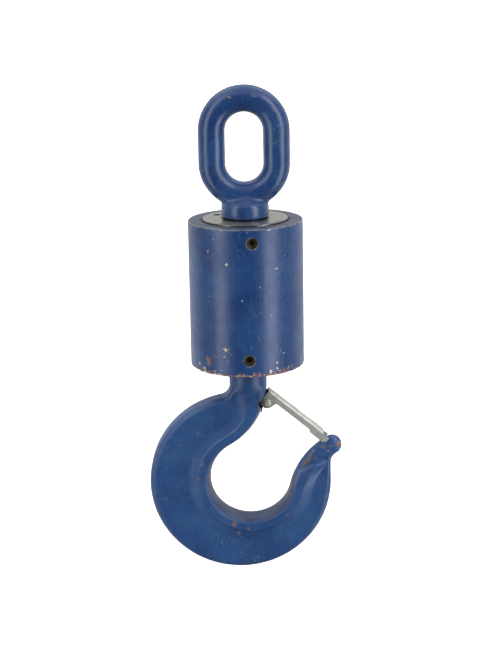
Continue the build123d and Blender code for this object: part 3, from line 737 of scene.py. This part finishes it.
def mark_hook(hook, lines, up):
    def wear(point):
        """Outer edge, bead and knob: mostly sound paint with rust spots."""
        flat = front_view(point)
        centre, radius = (lines.front, FRONT_RADIUS) if flat.x > lines.front.x \
            else (lines.back, BACK_RADIUS)
        outer = radius - (flat - centre).length
        rim = smooth(3.0, 0.0, outer) * smooth(THROAT_TOP - 5, THROAT_TOP - 25, point.z)
        bead = smooth(6.0, 1.0, abs((flat - BOWL).length - BOWL_RADIUS - 9))
        knob = smooth(12.5, 8.0, (flat - TIP).length) * smooth(3.0, 9.0, flat.x - TIP.x)
        return max(rim * 0.4, bead * 0.22, knob * 0.55)

    def grease_and_shade(point):
        """Grease round both ends of the relief beside the lug, and painted shade in the relief's hollow.
        """
        reach = min((front_view(point) - end).length for end in (PIVOT, up))
        return smooth(RELIEF_RADIUS + 2.5, RELIEF_RADIUS - 0.3, reach)

    def saddle_shade(point):
        """The bearing face of the bowl, which gets painted shade."""
        return smooth(BOWL_RADIUS + 5.5, BOWL_RADIUS + 2.5, (front_view(point) - BOWL).length)

    def dirt(point):
        """The pressed facet by the nose: a triangle between the bead and the latch's sweep."""
        flat = front_view(point)
        inner = (flat - FACET_TOP).dot(Vector((0.827, -0.562)))
        right = (flat - FACET_TOP).dot(Vector((-0.953, 0.303)))
        sweep = LATCH_SWEEP - 0.7 - (flat - PIVOT).length
        return smooth(-0.6, 0.8, inner) * smooth(-2.6, -1.4, right) * smooth(-0.3, 0.6, sweep)

    for measure in (wear, grease_and_shade, saddle_shade, dirt):
        mark(hook, measure.__name__, measure)


def make_hook():
    lines = HookLines()
    up = latch_point(0, RELIEF_LENGTH)
    hook = forge_hook(lines)
    ripple(hook, 0.2, 12.0, 2)
    carve(hook, relief_tools(up), "DIFFERENCE")
    start_z = BOTTOM - RING_PROUD - COLLAR_GAP - 6
    carve(hook, join("additions", [make_lug(), stem("hook", start_z)]), "UNION")
    bolt = rod_tool("bolt_hole", BOLT_RADIUS, (PIVOT.x, -15, PIVOT.y), (PIVOT.x, 15, PIVOT.y))
    carve(hook, bolt, "DIFFERENCE")
    mark_hook(hook, lines, up)
    return hook


# ---- the latch
def latch_low_edge(s):
    """Lower edge of the latch's side plates at a distance along it."""
    if s <= -LATCH_EAR * 0.72:
        return mix(-4.6, 1.5, smooth(-5.0, -6.4, s))
    if s < LATCH_EAR * 0.8:
        return -math.sqrt(LATCH_EAR ** 2 - s * s)
    if s < LATCH_EAR * 1.35:
        return mix(-LATCH_EAR * 0.6, LATCH_SIDE_BOTTOM, smooth(LATCH_EAR * 0.8, LATCH_EAR * 1.35, s))
    if s < LATCH_FLARE_START:
        return LATCH_SIDE_BOTTOM
    if s < LATCH_FLARE_START + 2.0:
        return mix(LATCH_SIDE_BOTTOM, LATCH_FLARE_BOTTOM, (s - LATCH_FLARE_START) / 2.0)
    if s < LATCH_SIDE_END - LATCH_END_CHAMFER:
        return LATCH_FLARE_BOTTOM
    return LATCH_FLARE_BOTTOM + s - (LATCH_SIDE_END - LATCH_END_CHAMFER)


def make_latch():
    """Pressed channel: the outer skin as a grid, then given its sheet's thickness inwards."""
    stops = sorted(set(spread(-LATCH_HEEL, LATCH_EAR * 1.4, 40) + spread(LATCH_EAR * 1.4, 53.5, 24)
                       + spread(LATCH_FLARE_START, 57.0, 9) + spread(58.0, LATCH_WEB_END, 8)
                       + spread(LATCH_WEB_END, LATCH_SIDE_END, 12)))
    side_rows, bend_rows = 9, 6
    verts = []
    for s in stops:
        half = LATCH_HALF + LATCH_FLARE * smooth(LATCH_FLARE_START - 5, LATCH_FLARE_START + 6, s)
        low = latch_low_edge(s)
        bend_start = LATCH_TOP - LATCH_BEND
        section = [(-half, mix(low, bend_start, t)) for t in spread(0, 1, side_rows)]
        for a in spread(0, 90, bend_rows)[1:]:
            angle = math.radians(a)
            section.append((-half + LATCH_BEND * (1 - math.cos(angle)),
                            bend_start + LATCH_BEND * math.sin(angle)))
        section += [(-half + LATCH_BEND + (half - LATCH_BEND) * t, LATCH_TOP)
                    for t in spread(0, 1, 4)[1:]]
        section += [(-y, t) for y, t in reversed(section[:-1])]
        for y, t in section:
            flat = latch_point(s, t)
            verts.append((flat.x, y, flat.y))
    count = len(verts) // len(stops)
    faces = []
    for i in range(len(stops) - 1):
        for j in range(count - 1):
            in_web = side_rows - 1 <= j < count - side_rows
            if in_web and stops[i] >= LATCH_WEB_END - 0.01:
                continue
            a = i * count + j
            faces.append((a, a + 1, a + count + 1, a + count))
    latch = new_piece("latch_channel", verts, faces)
    inward = latch.modifiers.new("sheet", "SOLIDIFY")
    inward.thickness = LATCH_SHEET * MM
    inward.offset = -1.0
    inward.use_even_offset = True
    apply_modifiers(latch)
    hole = rod_tool("hole", BOLT_RADIUS + 0.1, (PIVOT.x, -20, PIVOT.y), (PIVOT.x, 20, PIVOT.y))
    carve(latch, hole, "DIFFERENCE")
    soften = latch.modifiers.new("edges", "BEVEL")
    soften.width = 0.22 * MM
    soften.segments = 2
    soften.limit_method = "ANGLE"
    soften.angle_limit = math.radians(50)
    apply_modifiers(latch)
    tidy_normals(latch, 30)
    return latch


def make_bolt():
    """Domed head behind the latch, plain end in front of the nut."""
    low, high = box_mm("latch_bolt")
    head_radius = (high.x - low.x) / 2
    under_head = box_mm("latch")[1].y - LATCH_FLARE + 0.3
    outline = [(0, low.y, 0), (BOLT_RADIUS, low.y, 0.7), (BOLT_RADIUS, under_head, 0),
               (head_radius, under_head, 0.3), (head_radius, high.y, 1.6), (0, high.y, 0)]
    return lathe("latch_pin", rounded(outline, 6), segments=64, axis="Y", centre=tuple(PIVOT))


def make_nut():
    """Hexagon with its corners turned away at the front, and a raised ring round the bolt."""
    low, high = box_mm("latch_nut")
    corner = (high.x - low.x) / 2
    flat = corner * math.cos(math.pi / 6)
    segments = 96
    rows = [(BOLT_RADIUS + 0.02, high.y, False), (flat, high.y, True), (corner, high.y, False),
            (corner, low.y + 1.4, False), (flat - 0.1, low.y + 0.35, True), (flat - 0.7, low.y, True),
            (BOLT_RADIUS + 0.9, low.y, True), (BOLT_RADIUS + 0.02, low.y + 0.5, True)]
    verts = []
    for radius, y, is_round in rows:
        for k in range(segments):
            turn = 2 * math.pi * k / segments
            within = (turn + math.pi / 6) % (math.pi / 3) - math.pi / 6
            limit = flat / math.cos(within)
            reach = radius if is_round else min(radius, limit)
            verts.append((PIVOT.x + reach * math.cos(turn), y, PIVOT.y + reach * math.sin(turn)))
    return new_piece("latch_bolt_nut", verts, ring_faces(len(rows), segments, wrap_rows=True))


def make_spring():
    """Double torsion spring as one bent wire: leg, coil, arm, bridge and back."""
    above = LATCH_TOP - LATCH_SHEET - SPRING_WIRE - 0.15
    arm_end = latch_point(SPRING_ARM, above)
    leg_end = polar(PIVOT, *SPRING_LEG)

    def tangent(point, side):
        reach = (point - PIVOT).length
        return bearing(PIVOT, point) + side * math.degrees(math.acos(SPRING_COIL / reach))

    arm_angle = tangent(arm_end, 1)
    leg_angle = tangent(leg_end, -1) % 360
    turns = 1 + ((leg_angle - arm_angle) % 360) / 360
    travel = turns * SPRING_PITCH
    room = LATCH_HALF - LATCH_SHEET - LUG_HALF
    inner = LUG_HALF + (room - travel) / 2
    outer = inner + travel
    half = [(leg_end.x, -outer, leg_end.y)]
    for t in spread(1, 0, 90):
        p = polar(PIVOT, SPRING_COIL, arm_angle + turns * 360 * t)
        half.append((p.x, -inner - travel * t, p.y))
    for t in spread(0, 1, 12)[1:-1]:
        start = polar(PIVOT, SPRING_COIL, arm_angle)
        p = start.lerp(arm_end, t)
        half.append((p.x, -inner, p.y))
    bend = 1.2
    near = arm_end - (arm_end - PIVOT).normalized() * bend
    for a in spread(0, math.pi / 2, 6):
        p = near.lerp(arm_end, math.sin(a))
        half.append((p.x, -inner + bend * (1 - math.cos(a)), p.y))
    path = half + [(x, -y, z) for x, y, z in reversed(half)]
    return tube("latch_torsion_spring", path, SPRING_WIRE, 12)


# ---- materials
class Nodes:
    """Short names for building a node tree."""

    def __init__(self, tree, coordinates):
        self.tree = tree
        self.place = self.new("ShaderNodeTexCoord").outputs[coordinates]

    def new(self, kind, inputs=None, **settings):
        node = self.tree.nodes.new(kind)
        for key, value in settings.items():
            setattr(node, key, value)
        for key, value in (inputs or {}).items():
            self.feed(node.inputs[key], value)
        return node

    def feed(self, socket, value):
        if isinstance(value, bpy.types.NodeSocket):
            self.tree.links.new(value, socket)
        else:
            socket.default_value = value

    def calc(self, operation, a, b=0.0):
        return self.new("ShaderNodeMath", {0: a, 1: b}, operation=operation).outputs[0]

    def times(self, a, b):
        return self.calc("MULTIPLY", a, b)

    def plus(self, a, b):
        return self.calc("ADD", a, b)

    def most(self, a, b):
        return self.calc("MAXIMUM", a, b)

    def step(self, value, low, high, to_low=0.0, to_high=1.0):
        """Smooth change from one value to another."""
        limits = {"Value": value, "From Min": low, "From Max": high, "To Min": to_low, "To Max": to_high}
        return self.new("ShaderNodeMapRange", limits, interpolation_type="SMOOTHSTEP").outputs["Result"]


class Shader(Nodes):
    """One material; its patterns follow the object's own coordinates, in metres."""

    def __init__(self, name):
        self.material = bpy.data.materials.new(name)
        self.material.use_nodes = True
        super().__init__(self.material.node_tree, "Object")

    def finish(self, colour, rough, normal=None, **fixed):
        """Feeds the surface; fixed numbers go on its own sockets, as in Metallic=0.5."""
        sockets = self.tree.nodes["Principled BSDF"].inputs
        for name, value in fixed.items():
            sockets[name.replace("_", " ")].default_value = value
        self.feed(sockets["Base Color"], colour)
        self.feed(sockets["Roughness"], rough)
        if normal:
            self.feed(sockets["Normal"], normal)
        return self.material

    def noise(self, scale, detail=3.0, rough=0.5, stretch=None, warp=0.0):
        """Noise with its scale per metre."""
        vector = self.place
        if stretch:
            vector = self.new("ShaderNodeMapping", {"Vector": vector, "Scale": stretch}).outputs[0]
        return self.new("ShaderNodeTexNoise", {
            "Vector": vector, "Scale": scale, "Detail": detail, "Roughness": rough,
            "Distortion": warp}).outputs["Fac"]

    def attribute(self, name):
        return self.new("ShaderNodeAttribute", attribute_name=name).outputs["Fac"]

    def blend(self, share, a, b):
        node = self.new("ShaderNodeMix", {"Factor": share, "A": a, "B": b}, data_type="RGBA")
        return node.outputs["Result"]

    def bump(self, height, depth_mm, normal=None):
        inputs = {"Strength": 1.0, "Distance": depth_mm * MM, "Height": height}
        if normal:
            inputs["Normal"] = normal
        return self.new("ShaderNodeBump", inputs).outputs["Normal"]

    def spots(self, marks, soft=0.25, ragged=0.007):
        """1 inside any of the marks (x, y, z, radius), with ragged edges."""
        wobble = self.new("ShaderNodeTexNoise", {"Vector": self.place, "Scale": 520.0, "Detail": 3.0})
        moved = {0: wobble.outputs["Color"], 1: (ragged, ragged, ragged), 2: self.place}
        shift = self.new("ShaderNodeVectorMath", moved, operation="MULTIPLY_ADD").outputs[0]
        total = None
        for x, y, z, radius in marks:
            centre = Vector((x, y, z)) * MM + Vector((1, 1, 1)) * ragged / 2
            gap = self.new("ShaderNodeVectorMath", {0: shift, 1: centre}, operation="DISTANCE")
            inside = self.step(gap.outputs["Value"], radius * MM * (1 + soft), radius * MM * (1 - soft))
            total = inside if total is None else self.most(total, inside)
        return total


def rgb(red, green, blue):
    """A display colour, 0 to 255, as linear light."""
    def line(value):
        value /= 255
        return value / 12.92 if value <= 0.04045 else ((value + 0.055) / 1.055) ** 2.4
    return (line(red), line(green), line(blue), 1.0)


def paint_base(shader, dusty, deep, pale):
    """Blue enamel: slow shifts of tone, faint streaks and specks."""
    slow = shader.noise(22.0, 4.0, 0.6)
    streak = shader.noise(60.0, 4.0, 0.6, stretch=(9.0, 9.0, 0.7))
    colour = shader.blend(shader.step(slow, 0.35, 0.68), rgb(*deep), rgb(*pale))
    colour = shader.blend(shader.times(shader.step(streak, 0.52, 0.74), 0.6), colour, rgb(50, 92, 134))
    haze = shader.step(shader.noise(120.0, 5.0, 0.7), 0.5, 0.75, 0.0, dusty)
    return shader.blend(haze, colour, rgb(74, 94, 118))


def chip_colour(shader):
    """What shows under the paint: pale primer, tan rust and dark steel."""
    tone = shader.noise(260.0, 3.0, 0.6)
    pink = shader.blend(shader.step(tone, 0.4, 0.55), rgb(158, 126, 110), rgb(232, 226, 218))
    return shader.blend(shader.step(shader.noise(150.0, 2.0, 0.5), 0.52, 0.62), pink, rgb(112, 86, 76))


def scratches(shader, threshold, stretch, scale):
    """Thin broken lines."""
    line = shader.noise(scale, 2.0, 0.5, stretch=stretch)
    gaps = shader.noise(48.0, 3.0, 0.6)
    thin = shader.step(shader.calc("ABSOLUTE", shader.calc("SUBTRACT", line, 0.5)), 0.0065, 0.0)
    return shader.times(thin, shader.step(gaps, threshold, threshold + 0.12))


def scuffed(shader, colour):
    """Pale scratches and groups of specks over the paint."""
    upright = scratches(shader, 0.52, (10.0, 10.0, 0.8), 40.0)
    level = scratches(shader, 0.56, (2.0, 2.0, 6.0), 55.0)
    colour = shader.blend(shader.times(shader.most(upright, level), 0.55), colour, rgb(88, 142, 172))
    speck = shader.step(shader.noise(560.0, 2.0, 0.5), 0.645, 0.68)
    patch = shader.step(shader.noise(38.0, 3.0, 0.5), 0.5, 0.68)
    return shader.blend(shader.times(shader.times(speck, patch), 0.7), colour, rgb(120, 150, 165))


def chipped(shader, wear, marks):
    """Where the paint is off, as a number from 0 to 1."""
    fine = shader.noise(330.0, 4.0, 0.65, warp=0.4)
    coarse = shader.noise(95.0, 4.0, 0.6)
    level = shader.plus(shader.times(fine, 0.55), shader.times(coarse, 0.45))
    chips = shader.step(shader.plus(level, shader.times(wear, 0.3)), 0.755, 0.775)
    return shader.most(chips, shader.spots(marks)) if marks else chips


def rusted(shader, wear, marks):
    """Where rust stains the paint, as a number from 0 to 1."""
    rust = shader.step(shader.plus(shader.noise(210.0, 3.0, 0.6), shader.times(wear, 0.26)), 0.72, 0.77)
    return shader.most(rust, shader.spots(marks, 0.45)) if marks else rust


def painted(name, tones, dusty, gloss, marks=(), rust_marks=(), extra=None):
    """Worn blue enamel on steel."""
    shader = Shader(name)
    wear = shader.attribute("wear")
    chips = chipped(shader, wear, marks)
    rust = rusted(shader, wear, rust_marks)
    colour = scuffed(shader, paint_base(shader, dusty, *tones))
    colour = shader.blend(chips, colour, chip_colour(shader))
    rust_tone = shader.blend(shader.step(shader.noise(520.0, 3.0), 0.4, 0.6),
                             rgb(104, 74, 62), rgb(150, 116, 102))
    colour = shader.blend(shader.times(rust, 0.85), colour, rust_tone)
    if extra:
        colour = extra(shader, colour)

    worn = shader.most(chips, rust)
    rough = shader.step(shader.noise(70.0, 4.0, 0.6), 0.3, 0.7, gloss - 0.04, gloss + 0.08)
    peel = shader.bump(shader.noise(260.0, 3.0, 0.5), 0.05)
    lump = shader.bump(shader.noise(60.0, 3.0, 0.5), 0.25, peel)
    pit = shader.bump(shader.times(worn, -1.0), 0.18, lump)
    return shader.finish(colour, shader.plus(rough, shader.times(worn, 0.3)), pit, Specular_IOR_Level=0.5)


def on_body(angle, depth, radius):
    """A mark on the weight's side: degrees round from the front, mm down from the top."""
    turn = math.radians(angle - 90)
    return (BODY_RADIUS * math.cos(turn), BODY_RADIUS * math.sin(turn), TOP - depth, radius)


def on_hook(x, drop, ahead, radius):
    """A mark on the hook's front: across, mm below the weight, mm in front of the middle."""
    return (x, -ahead, BOTTOM - drop, radius)


def turned_steel():
    """Gland rings: faced on a lathe, matt and lightly stained, with painted shade at the outer edge and a
    dark brown ring of rust and painted shade close round the collar.
    """
    shader = Shader("turned_steel")
    flat = shader.new("ShaderNodeVectorMath", {0: shader.place, 1: (1.0, 1.0, 0.0)}, operation="MULTIPLY")
    length = shader.new("ShaderNodeVectorMath", {0: flat.outputs[0]}, operation="LENGTH")
    radius = length.outputs["Value"]
    cuts = {"W": radius, "Scale": 1700.0, "Detail": 1.0}
    rings = shader.new("ShaderNodeTexNoise", cuts, noise_dimensions="1D").outputs["Fac"]
    stain = shader.step(shader.noise(75.0, 5.0, 0.65), 0.45, 0.72)
    colour = shader.blend(rings, rgb(176, 175, 166), rgb(206, 205, 197))
    colour = shader.blend(shader.times(stain, 0.45), colour, rgb(128, 122, 108))
    # Painted shade: the outer edge, where the ring meets the weight's groove, is darkened.
    rim = shader.step(radius, RING_RADIUS * MM - 0.0012, RING_RADIUS * MM - 0.0004)
    colour = shader.blend(shader.times(rim, 0.8), colour, rgb(60, 56, 50))
    # Dark brown ring close round the eye's collar: rust, with painted shade where the collar stands over
    # the ring.
    near = shader.step(radius, 0.0275, 0.0245)
    colour = shader.blend(shader.times(near, 0.85), colour, rgb(78, 58, 44))
    rough = shader.step(stain, 0.0, 1.0, 0.22, 0.4)
    return shader.finish(colour, rough, shader.bump(rings, 0.012), Metallic=0.85)


def metal(name, light, dark, metallic, rough_low, rough_high, scale=120.0, depth=0.03, spotting=None):
    """Plain metal with uneven tone, roughness and a fine surface."""
    shader = Shader(name)
    tone = shader.noise(scale, 5.0, 0.62)
    grain = shader.noise(scale * 6, 3.0, 0.6)
    colour = shader.blend(shader.step(tone, 0.35, 0.68), rgb(*light), rgb(*dark))
    if spotting:
        spots = shader.step(shader.noise(scale * 2.4, 3.0, 0.6), 0.64, 0.7)
        colour = shader.blend(shader.times(spots, 0.6), colour, rgb(*spotting))
    rough = shader.step(tone, 0.3, 0.75, rough_low, rough_high)
    return shader.finish(colour, rough, shader.bump(grain, depth), Metallic=metallic)


def body_extra(shader, colour):
    """Rubbed pale line round the top edge with a painted highlight on it, matt end faces with a painted
    grey sheen, worn rims and oily bores of the screw holes.
    """
    # End faces greyed: matt paint, and a painted sheen of the pale reflection they show.
    dull_and_sheen = shader.times(shader.attribute("rim"),
                        shader.step(shader.noise(90.0, 4.0, 0.6), 0.3, 0.7, 0.45, 0.85))
    colour = shader.blend(dull_and_sheen, colour, rgb(64, 70, 82))
    # Pale line round the top edge: rubbed paint, and a painted highlight along the corner.
    edge = shader.times(shader.attribute("edge"),
                        shader.step(shader.noise(140.0, 4.0, 0.7), 0.34, 0.6, 0.25, 0.95))
    colour = shader.blend(edge, colour, rgb(142, 132, 120))
    mouths = []
    for node in LOCK_SCREWS:
        z, way = screw_axis(node)
        mouths.append((*(way * BODY_RADIUS + Vector((0, 0, z))), LOCK_SCREW_RADIUS + 0.7))
    rim = shader.times(shader.spots(mouths, 0.06, 0.0012),
                       shader.step(shader.noise(240.0, 3.0, 0.6), 0.35, 0.65, 0.1, 0.8))
    colour = shader.blend(rim, colour, rgb(140, 138, 126))
    bore = shader.blend(shader.noise(400.0, 3.0, 0.6), rgb(66, 58, 38), rgb(104, 94, 66))
    return shader.blend(shader.attribute("bore"), colour, bore)


def hook_extra(shader, colour):
    """Grease and painted shade round the latch's lug, brown dirt in the facet by the nose, painted shade
    darkening the bowl.
    """
    dirt = shader.attribute("dirt")
    mottled = shader.step(shader.plus(shader.noise(300.0, 4.0, 0.6), shader.times(dirt, 0.35)), 0.62, 0.78)
    brown = shader.blend(shader.noise(500.0), rgb(96, 84, 78), rgb(132, 116, 106))
    colour = shader.blend(shader.times(mottled, dirt), colour, brown)
    grease_and_shade = shader.attribute("grease_and_shade")
    # Brown grease halo, then near black: grease and painted shade in the relief beside the lug.
    colour = shader.blend(shader.step(grease_and_shade, 0.1, 0.55, 0.0, 0.55), colour, rgb(86, 74, 64))
    colour = shader.blend(shader.step(grease_and_shade, 0.55, 0.95), colour, rgb(14, 13, 13))
    # Painted shade: the bowl's upward bearing face darkened to a deep blue, not worn paint.
    rubbed = shader.times(shader.attribute("saddle_shade"),
                          shader.step(shader.noise(110.0, 4.0, 0.6), 0.3, 0.7, 0.65, 0.9))
    return shader.blend(rubbed, colour, rgb(24, 38, 70))


def assign(piece, material):
    piece.data.materials.clear()
    piece.data.materials.append(material)


# ---- making the pieces
BODY_CHIPS = [on_body(*place) for place in (
    (-19, 36, 1.4), (32, 42, 1.5), (-33, 12, 0.9), (-40, 24, 1.0), (-35, 27, 0.8), (13, 60, 1.1),
    (24, 66, 1.0), (-4, 74, 0.9), (24, 90, 1.0), (-22, 126, 2.3), (-24, 133, 1.0), (-35, 134, 0.9),
    (-57, 146, 1.5), (39, 133, 1.1), (31, 141, 1.2), (-25, 1, 1.2), (24, 1, 1.5), (29, 1, 1.0),
    (-48, 150, 1.6), (-35, 151, 1.5), (-27, 149, 1.0), (24, 150, 1.6), (31, 148, 1.4),
    (34, 151, 1.3), (46, 149, 1.2))]
BODY_RUST = [on_body(*place) for place in (
    (-43, 139, 3.2), (-42, 143, 2.6), (10, 90, 1.2), (-56, 101, 1.4), (12, 114, 1.5), (69, 58, 1.6),
    (68, 66, 1.9), (-62, 149, 2.2), (-52, 151, 2.6), (-41, 152, 2.4), (-8, 153, 2.5), (-3, 153, 1.8),
    (7, 152, 2.4), (12, 152, 2.2), (25, 153, 2.0), (38, 151, 2.3), (44, 151, 2.2), (51, 150, 2.0))]
HOOK_CHIPS = [on_hook(*place) for place in (
    (69, 99, 7, 0.8), (71, 95, 7, 0.7), (67, 103, 7, 0.6), (-45, 145, 17, 0.6), (-36, 160, 17, 0.7),
    (47, 135, 17, 0.7))]
HOOK_RUST = [on_hook(*place) for place in (
    (-52, 45, 15, 1.5), (-60, 50, 14, 1.3), (-68, 55, 13, 1.6), (-97, 94, 11, 1.7),
    (-100, 104, 11, 1.7), (-17, 176, 19, 2.4), (-13, 187, 17, 1.7), (-2, 181, 19, 1.5),
    (-50, 107, 19, 1.5), (-54, 124, 19, 1.7), (-9, 216, 13, 1.9), (0, 217, 13, 1.5),
    (40, 167, 18, 1.4), (80, 94, 7, 2.0), (85, 99, 7, 1.4), (97, 91, 5, 3.4), (98, 94, 0, 3.0),
    (-35, 78, 19, 1.0))]

blue_body = painted("worn_blue_weight", ((24, 56, 110), (34, 73, 126)), 0.25, 0.3,
                    BODY_CHIPS, BODY_RUST, body_extra)
blue_eye = painted("worn_blue_eye", ((28, 58, 110), (38, 74, 124)), 0.3, 0.24)
blue_hook = painted("worn_blue_hook", ((34, 68, 122), (44, 82, 134)), 0.4, 0.4,
                    HOOK_CHIPS, HOOK_RUST, hook_extra)
steel_ring = turned_steel()
zinc = metal("zinc_sheet", (212, 215, 207), (186, 189, 179), 0.5, 0.3, 0.46, 90.0, 0.04, (128, 118, 98))
black_steel = metal("greasy_black_steel", (34, 31, 27), (14, 13, 12), 0.4, 0.3, 0.6, 160.0, 0.15)
oily_screw = metal("oily_brown_steel", (104, 94, 66), (62, 54, 36), 0.3, 0.4, 0.6, 160.0, 0.1)
spring_steel = metal("black_spring_steel", (26, 26, 26), (12, 12, 12), 0.6, 0.3, 0.45, 200.0)
bronze = metal("bearing_bronze", (176, 132, 78), (128, 90, 52), 0.9, 0.3, 0.5)
rubber = metal("seal_rubber", (32, 31, 30), (20, 20, 20), 0.0, 0.6, 0.8, 300.0, 0.08)
ground_steel = metal("ground_bearing_steel", (200, 200, 202), (170, 171, 174), 1.0, 0.12, 0.25)
brass = metal("cage_brass", (196, 156, 84), (158, 120, 60), 0.95, 0.25, 0.4)


def ride_or_bend(piece, bodies):
    """A rigid piece rides on its body; a piece on several bodies, the spring, is only fixed in place where
    it stands.
    """
    if len(bodies) == 1:
        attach(piece, bodies[0])
        return
    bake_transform(piece)


pieces = [
    (make_body(), ["weight"], "weight_body", blue_body, "blue_paint"),
    (make_gland_ring("eye"), ["weight"], "top_gland_ring", steel_ring, "machined_steel"),
    (make_gland_ring("hook"), ["weight"], "bottom_gland_ring", steel_ring, "machined_steel"),
    (make_eye(), ["eye"], "lifting_eye", blue_eye, "blue_paint"),
    (make_hook(), ["hook"], "hook", blue_hook, "blue_paint"),
    (make_latch(), ["latch"], "latch", zinc, "zinc_plate"),
    (make_bolt(), ["hook"], "latch_bolt", zinc, "zinc_plate"),
    (make_nut(), ["hook"], "latch_nut", zinc, "zinc_plate"),
    (make_spring(), ["hook", "latch"], "latch_spring", spring_steel, "spring_steel"),
]
for piece, bodies, replaced, material, slot in pieces:
    assign(piece, material)
    ride_or_bend(piece, bodies)
    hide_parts(replaced)

kept_materials = {"bush": bronze, "seal": rubber, "housing_washer": ground_steel,
                  "bearing_balls": ground_steel, "bearing_cage": brass, "shaft_washer": ground_steel,
                  "nut": black_steel, "nut_pin": black_steel}
for end in ENDS:
    for part, material in kept_materials.items():
        assign(nodes[f"{end}_{part}"], material)
for node in LOCK_SCREWS:
    assign(nodes[node], oily_screw)


# ---- floor, light, camera
FLOOR_HALF = 60.0
FLOOR_DROP = 0.3


def make_floor():
    """A wide pale studio floor.  Reflections pass it by, so they show only the soft lights."""
    z = box_mm("hook")[0].z * MM - FLOOR_DROP
    corners = [(x * FLOOR_HALF, y * FLOOR_HALF, z) for x, y in ((-1, -1), (1, -1), (1, 1), (-1, 1))]
    mesh = bpy.data.meshes.new("floor")
    mesh.from_pydata(corners, [], [(0, 1, 2, 3)])
    floor = bpy.data.objects.new("floor", mesh)
    bpy.context.scene.collection.objects.link(floor)
    shader = Shader("pale_floor")
    tone = shader.step(shader.noise(2.0, 2.0), 0.3, 0.7)
    colour = shader.blend(tone, (0.92, 0.92, 0.92, 1.0), (0.95, 0.95, 0.95, 1.0))
    assign(floor, shader.finish(colour, 1.0, Specular_IOR_Level=0.0,
                                Emission_Color=(1.0, 1.0, 1.0, 1.0), Emission_Strength=0.55))
    floor.visible_glossy = False
    floor.visible_diffuse = False


# Soft studio light all round: (degrees from the front, half width, brightness), + is the right side
SOFTBOXES = [(-52.0, 17.0, 3.0), (50.5, 18.0, 4.1)]
SIDE_LIGHT = 0.45
BACK_LIGHT = 0.95
FAR_LIGHT = 0.5
FRONT_LIGHT = 0.1
OVERHEAD = 0.9


def make_light():
    """World light that depends on direction only: two tall softboxes, a bright back and top."""
    world = bpy.data.worlds.new("studio")
    bpy.context.scene.world = world
    world.use_nodes = True
    sky = Nodes(world.node_tree, "Generated")
    x, y, z = sky.new("ShaderNodeSeparateXYZ", {0: sky.place}).outputs
    angle = sky.calc("ARCTAN2", x, sky.times(y, -1.0))
    turned = sky.calc("ABSOLUTE", angle)
    level = sky.step(turned, math.radians(15), math.radians(85), FRONT_LIGHT, SIDE_LIGHT)
    for start, end, rise in ((95, 125, BACK_LIGHT - SIDE_LIGHT), (150, 166, FAR_LIGHT - BACK_LIGHT)):
        level = sky.plus(level, sky.step(turned, math.radians(start), math.radians(end), 0.0, rise))
    height = sky.times(sky.step(z, -0.75, -0.5), sky.step(z, 0.86, 0.62))
    for middle, half, power in SOFTBOXES:
        gap = sky.calc("ABSOLUTE", sky.calc("SUBTRACT", angle, math.radians(middle)))
        lobe = sky.step(gap, math.radians(half), math.radians(half * 0.4), 0.0, power)
        level = sky.plus(level, sky.times(lobe, height))
    side_share = sky.step(sky.calc("ABSOLUTE", z), 0.97, 0.75, 0.35, 1.0)
    level = sky.plus(sky.times(level, side_share), sky.step(z, 0.45, 0.8, 0.0, OVERHEAD))
    background = world.node_tree.nodes["Background"]
    sky.feed(background.inputs["Strength"], level)
    sky.feed(background.inputs["Color"], (1.0, 1.0, 1.0, 1.0))


def make_camera():
    """Square on to the hook, a little above it, framed on the whole block."""
    data = bpy.data.cameras.new("camera")
    data.lens = 93.255
    data.sensor_width = 36.0
    camera = bpy.data.objects.new("camera", data)
    bpy.context.scene.collection.objects.link(camera)
    target = Vector((3.08, 0.0, TOP - 114.28)) * MM
    distance, rise, roll = 1.78108, math.radians(14.408), math.radians(-0.971)
    camera.location = target + Vector((0, -math.cos(rise), math.sin(rise))) * distance
    look = (target - camera.location).to_track_quat("-Z", "Y")
    camera.rotation_mode = "QUATERNION"
    camera.rotation_quaternion = look @ Matrix.Rotation(roll, 3, "Z").to_quaternion()
    bpy.context.scene.camera = camera


make_floor()
make_light()
make_camera()
bpy.context.scene.view_settings.view_transform = "Standard"
